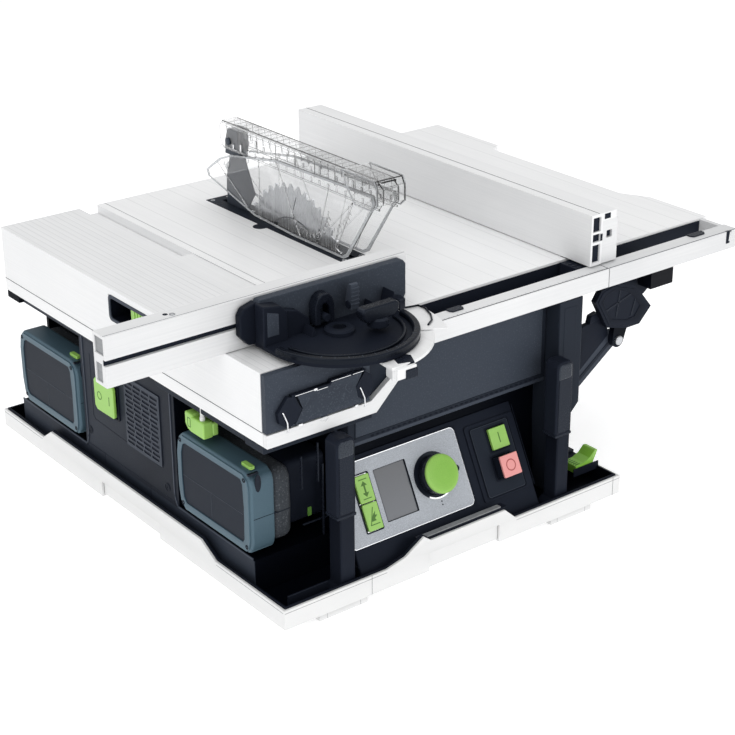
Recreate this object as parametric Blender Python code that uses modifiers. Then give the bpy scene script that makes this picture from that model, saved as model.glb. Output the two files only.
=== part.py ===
"""Compact cordless table saw built into a carrying-case tray.

Layout is in millimetres from the tray's front-left rim corner: x to the right, y to the back, z up,
with the rim at z = 0, the feet at z = FLOOR and the table top at z = TOP.  P() turns a layout point
into world metres, with the world origin at the middle of the whole saw's box, on the floor.
"""
import bpy
import bmesh
import math
from mathutils import Vector, Matrix

# ---------------------------------------------------------------- driving dimensions (mm)
OX, OY = 231.7, 235.5          # layout position of the world origin
FLOOR = -25.0                  # underside of the feet
TRAY_X, TRAY_Y = 396.0, 508.0  # tray footprint
WALL = 2.6                     # tray wall
TOP = 207.0                    # working surface
SEAM = 392.0                   # joint between fixed table and folding wing
RAIL_Y0, RAIL_Y1 = 24.0, 41.0  # front rail
RAIL_Z0, RAIL_Z1 = 188.0, 206.4
BLADE_X, BLADE_Y, BLADE_Z, BLADE_R = 224.0, 288.0, 171.0, 84.0
MOTOR_Z = 137.0
HINGE_X, HINGE_Z = 393.6, 184.0    # wing fold axis
BRACE_L = (371.0, 73.0)            # lower brace pivot (x, z)
BRACE_M = (431.0, 117.0)           # middle brace pivot
BRACE_U = (467.0, 178.0)           # upper brace pivot
MITRE_X, MITRE_Y = 96.0, 46.0      # mitre gauge swivel axis
SLOPE = math.atan2(33.0, 64.0)     # control panel leans back from upright
S0Y, S0Z = 20.0, 18.0              # bottom edge of the control panel
GAP = 0.3

NAME = "table_saw"

for o in list(bpy.data.objects):
    bpy.data.objects.remove(o, do_unlink=True)
for c in list(bpy.data.collections):
    bpy.data.collections.remove(c)

PARTS = bpy.data.collections.new(NAME)
TOOLS = bpy.data.collections.new("cutters")
bpy.context.scene.collection.children.link(PARTS)
bpy.context.scene.collection.children.link(TOOLS)

MATS = {
    "white_case": ((0.80, 0.81, 0.81), 0.45, 0.0),
    "black_plastic": ((0.012, 0.014, 0.020), 0.45, 0.0),
    "slate_plastic": ((0.045, 0.055, 0.075), 0.5, 0.0),
    "aluminium": ((0.86, 0.87, 0.88), 0.32, 0.9),
    "steel": ((0.62, 0.63, 0.65), 0.3, 1.0),
    "green_plastic": ((0.25, 0.56, 0.06), 0.4, 0.0),
    "red_plastic": ((0.80, 0.25, 0.25), 0.4, 0.0),
    "panel_grey": ((0.38, 0.40, 0.44), 0.55, 0.1),
    "battery_teal": ((0.09, 0.16, 0.21), 0.45, 0.0),
    "glass_dark": ((0.06, 0.07, 0.09), 0.12, 0.0),
    "clear_plastic": ((0.90, 0.92, 0.93), 0.08, 0.0),
}


def material(name):
    m = bpy.data.materials.get(name)
    if m is None:
        col, rough, metal = MATS[name]
        m = bpy.data.materials.new(name)
        m.use_nodes = True
        b = m.node_tree.nodes["Principled BSDF"]
        b.inputs["Base Color"].default_value = (*col, 1)
        b.inputs["Roughness"].default_value = rough
        b.inputs["Metallic"].default_value = metal
    return m


def P(x, y, z):
    return Vector(((x - OX) / 1000, (y - OY) / 1000, (z - FLOOR) / 1000))


def place(name, bm, mat, pivot, smooth=False):
    """bm is in layout millimetres; the object's origin goes to pivot (layout mm)."""
    tool = mat is None
    bmesh.ops.transform(bm, matrix=Matrix.Translation(-Vector(pivot)), verts=bm.verts)
    bmesh.ops.scale(bm, vec=(0.001, 0.001, 0.001), verts=bm.verts)
    bmesh.ops.recalc_face_normals(bm, faces=bm.faces)
    me = bpy.data.meshes.new(name)
    bm.to_mesh(me)
    bm.free()
    ob = bpy.data.objects.new(name, me)
    ob.location = P(*pivot)
    (TOOLS if tool else PARTS).objects.link(ob)
    if tool:
        ob.hide_render = True
        ob.display_type = "WIRE"
    else:
        me.materials.append(material(mat))
        if smooth:
            me.shade_smooth()
            me.set_sharp_from_angle(angle=math.radians(35))
    return ob


def box(name, x0, x1, y0, y1, z0, z1, mat=None, pivot=None):
    bm = bmesh.new()
    bmesh.ops.create_cube(bm, size=1.0)
    bmesh.ops.scale(bm, vec=(x1 - x0, y1 - y0, z1 - z0), verts=bm.verts)
    c = ((x0 + x1) / 2, (y0 + y1) / 2, (z0 + z1) / 2)
    bmesh.ops.translate(bm, vec=c, verts=bm.verts)
    return place(name, bm, mat, pivot or c)


AXIS = {  # columns: where local x, y and z of a flat outline go
    "X": Matrix(((0, 0, 1), (1, 0, 0), (0, 1, 0))),
    "Y": Matrix(((1, 0, 0), (0, 0, -1), (0, 1, 0))),
    "Z": Matrix.Identity(3),
}


def outline_mesh(loops, depth):
    cu = bpy.data.curves.new("outline", "CURVE")
    cu.dimensions = "2D"
    cu.fill_mode = "BOTH"
    cu.extrude = depth / 2
    for pts in loops:
        sp = cu.splines.new("POLY")
        sp.points.add(len(pts) - 1)
        for i, (a, b) in enumerate(pts):
            sp.points[i].co = (a, b, 0, 1)
        sp.use_cyclic_u = True
    ob = bpy.data.objects.new("outline", cu)
    TOOLS.objects.link(ob)
    dg = bpy.context.evaluated_depsgraph_get()
    dg.update()
    me = bpy.data.meshes.new_from_object(ob.evaluated_get(dg))
    bpy.data.objects.remove(ob, do_unlink=True)
    bpy.data.curves.remove(cu)
    bm = bmesh.new()
    bm.from_mesh(me)
    bpy.data.meshes.remove(me)
    bmesh.ops.remove_doubles(bm, verts=bm.verts, dist=0.001)
    return bm


def prism(name, pts, axis, a0, a1, mat=None, pivot=None, holes=(), smooth=False):
    """Flat outline extruded along an axis: (y, z) for X, (x, z) for Y, (x, y) for Z."""
    bm = outline_mesh([pts, *holes], a1 - a0)
    bmesh.ops.transform(bm, matrix=AXIS[axis].to_4x4(), verts=bm.verts)
    v = {"X": Vector((1, 0, 0)), "Y": Vector((0, 1, 0)), "Z": Vector((0, 0, 1))}[axis]
    bmesh.ops.translate(bm, vec=v * (a0 + a1) / 2, verts=bm.verts)
    if pivot is None:
        pivot = sum((w.co for w in bm.verts), Vector()) / len(bm.verts)
    return place(name, bm, mat, tuple(pivot), smooth)


def cyl(name, axis, c, r, a0, a1, mat=None, seg=28, pivot=None):
    """Round bar along an axis; c is its centre in the other two coordinates."""
    bm = bmesh.new()
    bmesh.ops.create_cone(bm, cap_ends=True, segments=seg, radius1=r, radius2=r, depth=a1 - a0)
    bmesh.ops.transform(bm, matrix=AXIS[axis].to_4x4(), verts=bm.verts)
    m = (a0 + a1) / 2
    ctr = {"X": (m, c[0], c[1]), "Y": (c[0], m, c[1]), "Z": (c[0], c[1], m)}[axis]
    bmesh.ops.translate(bm, vec=ctr, verts=bm.verts)
    return place(name, bm, mat, pivot or ctr, smooth=mat is not None)


def turned(name, profile, mat, pivot, steps=32):
    """Profile of (radius, x) from the highest x to the lowest, turned about the x axis through pivot."""
    me = bpy.data.meshes.new(name)
    pts = [(r / 1000, 0, (x - pivot[0]) / 1000) for r, x in profile]
    me.from_pydata(pts, [(i, i + 1) for i in range(len(pts) - 1)], [])
    ob = bpy.data.objects.new(name, me)
    PARTS.objects.link(ob)
    s = ob.modifiers.new("turn", "SCREW")
    s.angle = 2 * math.pi
    s.steps = s.render_steps = steps
    s.use_merge_vertices = True
    s.merge_threshold = 0.00001
    s.use_smooth_shade = True
    ob.rotation_euler = (0, math.pi / 2, 0)
    ob.location = P(*pivot)
    me.materials.append(material(mat))
    return ob


def boolean(ob, tool, op):
    m = ob.modifiers.new(op.lower(), "BOOLEAN")
    m.operation = op
    m.object = tool
    m.solver = "EXACT"
    return ob


def cut(ob, *tools):
    for t in tools:
        boolean(ob, t, "DIFFERENCE")
    return ob


def join(ob, *tools):
    for t in tools:
        boolean(ob, t, "UNION")
    return ob


def arc(cx, cy, r, a0, a1, n):
    return [(cx + r * math.cos(math.radians(a0 + (a1 - a0) * i / n)),
             cy + r * math.sin(math.radians(a0 + (a1 - a0) * i / n))) for i in range(n + 1)]


def hull(pts):
    pts = sorted(set(pts))

    def half(seq):
        out = []
        for p in seq:
            while len(out) > 1 and ((out[-1][0] - out[-2][0]) * (p[1] - out[-2][1])
                                    - (out[-1][1] - out[-2][1]) * (p[0] - out[-2][0])) <= 1e-9:
                out.pop()
            out.append(p)
        return out[:-1]
    return half(pts) + half(pts[::-1])


def link_outline(p, q, rp, rq, n=16):
    return hull(arc(*p, rp, 0, 360, n)[:-1] + arc(*q, rq, 0, 360, n)[:-1])


def slope_box(name, x0, x1, s0, s1, n0, n1, mat=None, pivot=None):
    """Box on the sloping control panel: x across, s up the slope, n out of it."""
    bm = bmesh.new()
    bmesh.ops.create_cube(bm, size=1.0)
    bmesh.ops.scale(bm, vec=(x1 - x0, s1 - s0, n1 - n0), verts=bm.verts)
    bmesh.ops.translate(bm, vec=((x0 + x1) / 2, (s0 + s1) / 2, (n0 + n1) / 2), verts=bm.verts)
    bmesh.ops.transform(bm, matrix=slope_matrix(), verts=bm.verts)
    c = slope_matrix() @ Vector(((x0 + x1) / 2, (s0 + s1) / 2, n0))
    return place(name, bm, mat, tuple(pivot or c))


def slope_matrix():
    u = Vector((0, math.sin(SLOPE), math.cos(SLOPE)))
    n = Vector((0, -math.cos(SLOPE), math.sin(SLOPE)))
    m = Matrix(((1, u[0], n[0], 0), (0, u[1], n[1], S0Y), (0, u[2], n[2], S0Z), (0, 0, 0, 1)))
    return m


def slope_cyl(name, x, s, r, n0, n1, mat=None, seg=36):
    bm = bmesh.new()
    bmesh.ops.create_cone(bm, cap_ends=True, segments=seg, radius1=r, radius2=r, depth=n1 - n0)
    bmesh.ops.translate(bm, vec=(x, s, (n0 + n1) / 2), verts=bm.verts)
    bmesh.ops.transform(bm, matrix=slope_matrix(), verts=bm.verts)
    c = slope_matrix() @ Vector((x, s, n0))
    return place(name, bm, mat, tuple(c), smooth=mat is not None)


# ---------------------------------------------------------------- tray and its liner
def tray(name, inset, wall, z_floor, lift, mat, recesses):
    x0, x1, y0, y1 = inset, TRAY_X - inset, inset, TRAY_Y - inset
    ob = box(name, x0, x1, y0, y1, z_floor, 30, mat)
    e = 0.2
    side = [(y0 + wall + e, lift), (106, lift), (129, 12 + lift), (405, 12 + lift), (422, lift),
            (y1 - wall - e, lift), (y1 - wall - e, 60), (y0 + wall + e, 60)]
    end = [(-5, lift), (110, lift), (131, 5 + lift), (152, 18 + lift), (160, 12 + lift),
           (248, 12 + lift), (261, lift), (401, lift), (401, 60), (-5, 60)]
    cut(ob, box(name + "_inside", x0 + wall, x1 - wall, y0 + wall, y1 - wall, z_floor + 2.2, 45),
        prism(name + "_side_rims", side, "X", -5, 401),
        prism(name + "_front_rim", end, "Y", -5, y0 + wall + 0.6),
        prism(name + "_back_rim", end, "Y", y1 - wall - 0.6, 513))
    if recesses:
        cut(ob, box("grip_left", -5, 21, 200, 305, -30, -3), box("grip_right", 375, 401, 200, 305, -30, -3),
            box("grip_front", 158, 241, -5, 20, -30, -1), box("grip_back", 158, 241, 488, 513, -30, -1))
    return ob


base_tray = tray("base_tray", 0.0, WALL, -19.0, 0.0, "white_case", True)
for i, (fx, fy) in enumerate([(37, 1), (307, 1), (37, 478), (307, 478)]):
    join(base_tray, box("foot_%d" % i, fx, fx + 52, fy, fy + 29, FLOOR, -18.2))
tray_liner = tray("tray_liner", WALL + 0.4, 2.2, -16.4, 1.2, "black_plastic", False)

# ---------------------------------------------------------------- housing
HB = -13.8   # underside of the housing, on the liner
main_housing = prism("main_housing", [(10, HB), (350, HB), (350, 70), (360, 80), (360, 186.6),
                                      (116, 186.6), (116, 139), (10, 139)], "Y", 58, 480, "slate_plastic")
join(main_housing, box("brace_lug", 357, 378, 60, 67, 63, 83))
join(main_housing, cyl("brace_lug_pin", "Y", BRACE_L, 3.9, 52.7, 62, seg=20))
cut(main_housing,
    prism("cavity_main", [(98.5, -10.8), (347, -10.8), (347, 71), (357, 81.5), (357, 188),
                          (119, 188), (119, 136), (98.5, 136)], "Y", 61, 477),
    box("cavity_left", 13, 100, 183.5, 342.5, -10.8, 136),
    box("cavity_under_front", 13, 100, 61, 180, -20, 15.5),
    box("cavity_under_rear", 13, 100, 346, 477, -20, 15.5),
    box("bay_front", 5, 95, 50, 178.5, 18.5, 133),
    box("bay_rear", 5, 95, 347.5, 475.5, 18.5, 133),
    prism("bay_rear_mouth", [(5, 18.5), (44, 18.5), (44, 104), (33, 133), (5, 133)], "Y", 470, 490),
    cyl("dust_hole", "Y", (300, 60), 18.4, 470, 490, seg=28))

control_cowl = prism("control_cowl", [(57.7, HB), (57.7, 87.2), (10.1, -5), (8, HB)], "X", 90, 301, "slate_plastic")
cut(control_cowl, prism("cowl_hollow", [(60, -10.8), (60, 83), (14.6, -5), (13.4, -10.8)], "X", 93, 298))
control_plate = slope_box("control_plate", 88.5, 228, -0.5, 72.5, -1.5, 0, "panel_grey")
display = slope_box("display", 131, 167, 12, 60.5, 0.3, 0.9, "glass_dark")
key_up = slope_box("key_up", 108, 124, 35.4, 60, 1.4, 3.2, "green_plastic")
key_down = slope_box("key_down", 108, 124, 10.2, 34.4, 1.4, 3.2, "green_plastic")
menu_knob = slope_cyl("menu_knob", 193, 37.5, 18, 1.5, 15, "green_plastic")
start_button = slope_box("start_button", 264, 284, 39.2, 59.2, 0.2, 3.0, "green_plastic")
stop_button = slope_box("stop_button", 261.5, 282, 12.5, 32.5, 0.7, 11.5, "red_plastic")

front_panel = prism("front_panel", [(100, 108), (330, 108), (330, 186.4), (180, 186.4), (152, 172),
                                    (122, 142), (113, 139.4), (100, 139.4)], "Y", 41.4, 57.7, "slate_plastic")
join(front_panel, prism("corner_cover", [(113.2, 142), (148, 170), (183.6, 183), (183.6, 205.4),
                                         (113.2, 205.4)], "Y", 29.9, 44))
right_pillar = prism("right_pillar", [(335, HB), (350, HB), (350, 70), (360, 80), (360, 187.4),
                                      (331, 187.4), (331, 60)], "Y", 24.5, 57.7, "slate_plastic")


def post(name, x0, x1):
    r = 6
    return prism(name, [(x0 + 3, HB), (x1 - 1, HB), (x1 - 1, 62), (x1, 64), (x1, 137 - r)]
                 + arc(x1 - r, 137 - r, r, 0, 90, 4)[1:] + arc(x0 + r, 137 - r, r, 90, 180, 4)
                 + [(x0, 64), (x0 + 3, 62)], "Y", 7, 24, "black_plastic")


left_post = post("left_post", 62, 82)
right_post = post("right_post", 314, 334)

electronics = box("control_electronics", 22, 90, 192, 334, 2, 118, "black_plastic")
dust_port = cyl("dust_port", "Y", (300, 60), 18, 472, 502, "black_plastic", seg=28)
cut(dust_port, cyl("dust_bore", "Y", (300, 60), 15.5, 460, 515, seg=28))

rows = 12
slots = []
for i in range(rows):
    z = 54.5 + i * 5.5
    slots.append([(207, z), (232, z), (232, z + 2.6), (207, z + 2.6)])
    slots.append([(236, z), (261, z), (261, z + 2.6), (236, z + 2.6)])
vent_grille = prism("vent_grille", [(203, 51), (265, 51), (265, 122), (203, 122)], "X", 8.2, 9.7,
                    "black_plastic", holes=slots)
main_switch = box("main_switch", 4.4, 8.0, 279, 315, 71, 104, "green_plastic")

lock_lever = box("lock_lever", 3, 19, 118, 149, 113, 130.5, "green_plastic", pivot=(7, 126, 130))
join(lock_lever, cyl("lock_rod", "Z", (7, 126), 2.0, 128, 140.6, seg=14))


def battery(name, y0):
    ob = box(name, 6, 58, y0, y0 + 121, 26, 104, "battery_teal")
    b = ob.modifiers.new("round", "BEVEL")
    b.width = 0.009
    b.segments = 2
    b.limit_method = "ANGLE"
    return join(ob, box(name + "_neck", 50, 93, y0 + 14, y0 + 107, 34, 96))


battery_front = battery("battery_front", 53)
battery_rear = battery("battery_rear", 350)

# ---------------------------------------------------------------- front rail and sliding table
front_rail = prism("front_rail", [(4.5, 141), (118, 141), (154, 176), (178, RAIL_Z0), (391.7, RAIL_Z0),
                                  (391.7, RAIL_Z1), (184, RAIL_Z1), (147.8, 179), (112, 153.2), (4.5, 153.2)],
                   "Y", RAIL_Y0, 29.5, "aluminium")
join(front_rail, box("rail_body", 184, 391.7, 26, RAIL_Y1, RAIL_Z0, RAIL_Z1))
slide_base = prism("slide_base", [(4.5, 141), (112, 141), (112, 149), (7.8, 149), (7.8, 153.4), (4.5, 153.4)],
                   "Y", 29.8, 483, "aluminium")
guide_rail = prism("guide_rail", [(95.5, 191.5), (112.8, 191.5), (112.8, 198.3), (95.5, 198.3)],
                   "Y", 45, 483, "aluminium")
join(guide_rail, box("guide_foot", 96, 112, 474, 482.5, 149.4, 193))

sliding_table = prism("sliding_table", [(4.5, 154), (8.5, 154), (8.5, 201), (89, 201), (89, 158), (93, 158),
                                        (93, 199.5), (111.5, 199.5), (111.5, TOP), (4.5, TOP)],
                      "Y", 31, 483, "aluminium")
cut(sliding_table, box("flange_cut", 93, 113, 300, 485, 198, 209),
    box("pocket_hole", 3, 12, 196, 273, 176, 200.9))
slide_end_cap = prism("slide_end_cap", [(4.5, 154), (111.5, 154), (111.5, 190), (93.4, 190), (93.4, 206.6),
                                        (4.5, 206.6)], "Y", 24.6, 30.7, "black_plastic")
tool_holder = prism("tool_holder", [(30, 157), (100, 157), (108, 166), (108, 180), (100, 189), (62, 189),
                                    (58, 186), (30, 186), (21, 178), (21, 166)], "Y", 20, 24.3, "slate_plastic")
slide_pocket = box("slide_pocket", 4.8, 26, 196.4, 272.6, 176.4, 200.6, "black_plastic")
cut(slide_pocket, box("pocket_space", 2, 24, 198.4, 270.6, 178.4, 198.6))
slide_button = box("slide_button", 9, 20, 204, 236, 182, 197, "green_plastic")

# ---------------------------------------------------------------- mitre gauge
mitre_base = prism("mitre_base", arc(MITRE_X, MITRE_Y, 80, -95, -26, 12) + arc(MITRE_X, MITRE_Y, 32, -26, 265, 26),
                   "Z", 207.5, 210.5, "aluminium")
join(mitre_base, box("pointer", 92, 112, -37, -22, 199.5, 209))
mitre_head = prism("mitre_head", arc(MITRE_X, MITRE_Y, 68, 180, 360, 24) + [(164, 72), (28, 72)],
                   "Z", 211, 219, "black_plastic", pivot=(MITRE_X, MITRE_Y, 211), smooth=True)
join(mitre_head, box("mitre_plate", 14, 187, 70, 79.4, 212, 250))
mitre_fence = box("mitre_fence", -107.6, 195, 80, 98, 207.8, 252, "aluminium")
cut(mitre_fence, box("fence_slot", -120, 205, 75, 84, 226.5, 231.5),
    box("cell_low", -120, 205, 86, 95.5, 210.5, 227), box("cell_high", -120, 205, 82.5, 95.5, 235, 249.3))
mitre_knob = cyl("mitre_knob", "Z", (122, 27), 10, 219.6, 227, "black_plastic", seg=24, pivot=(122, 27, 219.6))
join(mitre_knob, box("knob_wing", 104, 140, 22.5, 31.5, 225, 238))
mitre_clamp = box("mitre_clamp", 118, 126, 58, 67, 224, 247, "slate_plastic", pivot=(122, 62.5, 228))

# ---------------------------------------------------------------- fixed table, insert, rip fence
main_table = box("main_table", 113.3, 391.7, 68, 483, 187, TOP, "aluminium")
cut(main_table, box("table_hollow", 123, 382, 78, 473, 180, 201),
    box("insert_hole", 208.4, 237.9, 188.7, 425.3, 195, 215))
table_insert = box("table_insert", 208.7, 237.6, 189, 425, 203, TOP, "black_plastic")
cut(table_insert, prism("kerf", [(221.8, 209), (225.8, 209), (226.4, 207), (227.0, 201), (215.2, 201), (221.8, 207)],
                        "Y", 196, 414))

rip_fence = prism("rip_fence", [(377.5, 207.8), (391.5, 207.8), (391.5, 250), (409, 250), (409, 257.6),
                                (377.5, 257.6)], "Y", 36, 495, "aluminium")
cut(rip_fence, box("rip_cell_low", 379.8, 389.2, 30, 500, 211, 228),
    box("rip_cell_high", 379.8, 389.2, 30, 500, 231, 254.5))
fence_bracket = box("fence_bracket", 391.8, 412, 36, 41, 207.8, 249.7, "aluminium")
cut(fence_bracket, box("bracket_window", 398, 405, 30, 45, 232, 239))
fence_carriage = box("fence_carriage", 368, 420, 43, 66, 190.5, 205.8, "black_plastic")

# ---------------------------------------------------------------- folding wing and its brace
wing_pivot = (HINGE_X, 270, HINGE_Z)
extension_wing = prism("extension_wing", [(SEAM + 0.3, 68), (571, 68), (571, 144), (556, 173), (556, 371),
                                          (571, 380), (571, 486), (SEAM + 0.3, 486)], "Z", 187, TOP,
                       "aluminium", pivot=wing_pivot)
cut(extension_wing, box("wing_hollow", 400, 548, 78, 476, 180, 200))
rail_extension = box("rail_extension", SEAM + 0.3, 567, RAIL_Y0, RAIL_Y1, RAIL_Z0, RAIL_Z1, "aluminium",
                     pivot=wing_pivot)
join(rail_extension, box("end_block", 561, 566.5, 38, 67.7, 190, 205.5),
     box("brace_bracket", 452, 482, 27, 44, 170, 190),
     cyl("brace_top_pin", "Y", BRACE_U, 3.9, 40, 52.6, seg=20))
cut(rail_extension, box("end_slot", 552, 556.5, 20, 27, 194, 210))
wing_hinge_pin = cyl("wing_hinge_pin", "Y", (HINGE_X, HINGE_Z), 2.5, 90, 470, "steel", seg=16)

up = (BRACE_U[0], 49, BRACE_U[1])
brace_upper = prism("brace_upper", [(398, 164), (405, 174), (421, 178), (452, 168), (474, 142), (459, 127),
                                    (441, 127), (415, 134), (408, 146)], "Y", 45.5, 52.0, "black_plastic", pivot=up)
join(brace_upper, prism("brace_strut", link_outline(BRACE_U, (436, 148), 8.0, 8.0), "Y", 46.0, 51.8),
     prism("brace_toe", link_outline((436, 140), BRACE_M, 10.0, 7.5), "Y", 45.8, 51.9))
cut(brace_upper, cyl("brace_top_hole", "Y", BRACE_U, 4.3, 30, 70, seg=20))
brace_lower = prism("brace_lower", link_outline(BRACE_L, BRACE_M, 6.8, 8.0), "Y", 53, 59, "slate_plastic",
                    pivot=(BRACE_L[0], 56, BRACE_L[1]))
cut(brace_lower, cyl("brace_low_hole", "Y", BRACE_L, 4.3, 40, 70, seg=20))

# ---------------------------------------------------------------- sawing unit
tilt_pivot = (BLADE_X, 274, TOP)
sector = arc(BLADE_X, TOP, 62, 200, 340, 14) + arc(BLADE_X, TOP, 50, 340, 200, 14)
trunnion_front = prism("trunnion_front", sector, "Y", 92, 97, "steel")
trunnion_rear = prism("trunnion_rear", sector, "Y", 451.5, 456.5, "steel")
tilt_cradle = prism("tilt_cradle", [(98, 46), (450, 46), (450, 177), (436, 177), (436, 56.5), (112, 56.5),
                                    (112, 177), (98, 177)], "X", 236.6, 244.5, "steel", pivot=tilt_pivot)
lift_screw = cyl("lift_screw", "Z", (231, 106), 3.4, 60, 176, "steel", seg=16)

lobe = arc(BLADE_Y, BLADE_Z, 18, 20, 160, 10)
lift_carriage = prism("lift_carriage", [(113, 128), (435, 128), (435, 148), (318, 150)] + lobe
                      + [(258, 150), (113, 148)], "X", 228, 234, "steel")
join(lift_carriage, box("nut_front", 225.6, 236.2, 99, 114, 130, 146),
     box("knife_clamp", 225.3, 229, 384, 410, 132, 156))
cut(lift_carriage, cyl("nut_bore", "Z", (231, 106), 3.9, 120, 160, seg=16),
    cyl("arbor_hole", "X", (BLADE_Y, BLADE_Z), 11, 220, 240, seg=24))
gear_case = prism("gear_case", hull(arc(BLADE_Y, BLADE_Z, 22, 0, 360, 24)[:-1]
                                    + arc(BLADE_Y, MOTOR_Z, 24, 0, 360, 24)[:-1]),
                  "X", 234.3, 252, "slate_plastic")
cut(gear_case, prism("gear_space", hull(arc(BLADE_Y, BLADE_Z, 19.8, 0, 360, 24)[:-1]
                                        + arc(BLADE_Y, MOTOR_Z, 19.8, 0, 360, 24)[:-1]), "X", 236.8, 249.5),
    cyl("arbor_bore", "X", (BLADE_Y, BLADE_Z), 10.3, 230, 240, seg=24),
    cyl("motor_bore", "X", (BLADE_Y, MOTOR_Z), 6, 245, 256, seg=20))
motor_housing = cyl("motor_housing", "X", (BLADE_Y, MOTOR_Z), 30, 252.3, 318, "black_plastic", seg=32)
cut(motor_housing, cyl("motor_space", "X", (BLADE_Y, MOTOR_Z), 27, 245, 315, seg=32))
motor_rotor = turned("motor_rotor", [(0, 309), (22, 309), (22, 258), (5, 258), (5, 247.6), (14.5, 247.6),
                                     (14.5, 238.2), (0, 238.2)], "steel", (273, BLADE_Y, MOTOR_Z))
arbor = turned("arbor", [(0, 248.6), (6, 248.6), (6, 247.6), (18.8, 247.6), (18.8, 238.2), (9.7, 238.2),
                         (9.7, 227.6), (15, 227.6), (15, 225.3), (9.7, 225.3), (9.7, 213), (0, 213)],
               "steel", (BLADE_X, BLADE_Y, BLADE_Z))

TEETH = 42
rim = []
for i in range(TEETH):
    a = 2 * math.pi * i / TEETH
    for da, r in ((0.0, BLADE_R), (0.030, BLADE_R - 1.2), (0.075, BLADE_R - 6.5), (0.135, BLADE_R - 3.0)):
        rim.append((BLADE_Y + r * math.cos(a + da), BLADE_Z + r * math.sin(a + da)))
saw_blade = prism("saw_blade", rim, "X", BLADE_X - 0.9, BLADE_X + 0.9, "steel",
                  pivot=(BLADE_X, BLADE_Y, BLADE_Z),
                  holes=[arc(BLADE_Y, BLADE_Z, 10.0, 0, 360, 28)[:-1]])

riving_knife = prism("riving_knife", arc(BLADE_Y, BLADE_Z, 88, -16, 40, 12)
                     + [(370, 258), (373, 288), (393, 288), (397, 262), (405, 236), (409, 180), (409, 136), (386, 136)],
                     "X", BLADE_X - 0.8, BLADE_X + 0.8, "steel")
guard_top = prism("guard_top", [(137, 276), (144, 268), (396, 268), (403, 276), (403, 292), (398, 297),
                                (146, 297), (137, 290)], "X", BLADE_X - 9.5, BLADE_X + 9.5, "clear_plastic")
cut(guard_top, box("guard_channel", BLADE_X - 7.5, BLADE_X + 7.5, 141, 399.5, 250, 294.5))
shield = [(193, 209.2), (275, 209.2), (340, 212), (424, 234), (426, 240), (400, 258), (380, 266), (300, 280),
          (146, 284), (143, 276), (186, 213)]
guard_shield_left = prism("guard_shield_left", shield, "X", BLADE_X - 12.5, BLADE_X - 10.5, "clear_plastic")
guard_shield_right = prism("guard_shield_right", shield, "X", BLADE_X + 10.5, BLADE_X + 12.5, "clear_plastic")

# ---------------------------------------------------------------- tray latch
tray_latch = prism("tray_latch", [(364, 0), (378, 0), (386, 5), (390, 13), (392, 18), (388, 18), (382, 12),
                                  (374, 9), (364, 8)], "Y", 28, 44, "green_plastic", pivot=(367, 36, 4))
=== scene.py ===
"""Looks of the compact table saw: materials, small moulded details, lights and camera.

Points are written in layout millimetres (x right, y back, z up from the tray's front-left rim corner),
the same layout as the model, and TO_WORLD turns them into metres.
"""
import bpy
import bmesh
import math
from mathutils import Matrix, Vector


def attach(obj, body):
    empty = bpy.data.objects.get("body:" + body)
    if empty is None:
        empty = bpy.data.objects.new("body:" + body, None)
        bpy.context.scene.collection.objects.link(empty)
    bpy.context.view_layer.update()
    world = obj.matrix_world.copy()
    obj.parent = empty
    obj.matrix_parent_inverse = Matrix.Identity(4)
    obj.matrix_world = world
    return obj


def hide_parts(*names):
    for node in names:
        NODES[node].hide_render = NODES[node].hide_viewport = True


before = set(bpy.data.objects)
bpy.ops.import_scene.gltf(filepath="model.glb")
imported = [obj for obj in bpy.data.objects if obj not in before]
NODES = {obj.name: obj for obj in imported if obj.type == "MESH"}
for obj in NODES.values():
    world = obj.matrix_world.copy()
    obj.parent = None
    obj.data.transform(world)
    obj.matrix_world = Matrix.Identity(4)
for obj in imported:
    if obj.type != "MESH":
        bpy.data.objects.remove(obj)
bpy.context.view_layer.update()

OX, OY, FLOOR = 231.7, 235.5, -25.0
TO_WORLD = Matrix.Diagonal((0.001, 0.001, 0.001, 1)) @ Matrix.Translation((-OX, -OY, -FLOOR))
SCENE = bpy.context.scene


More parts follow.
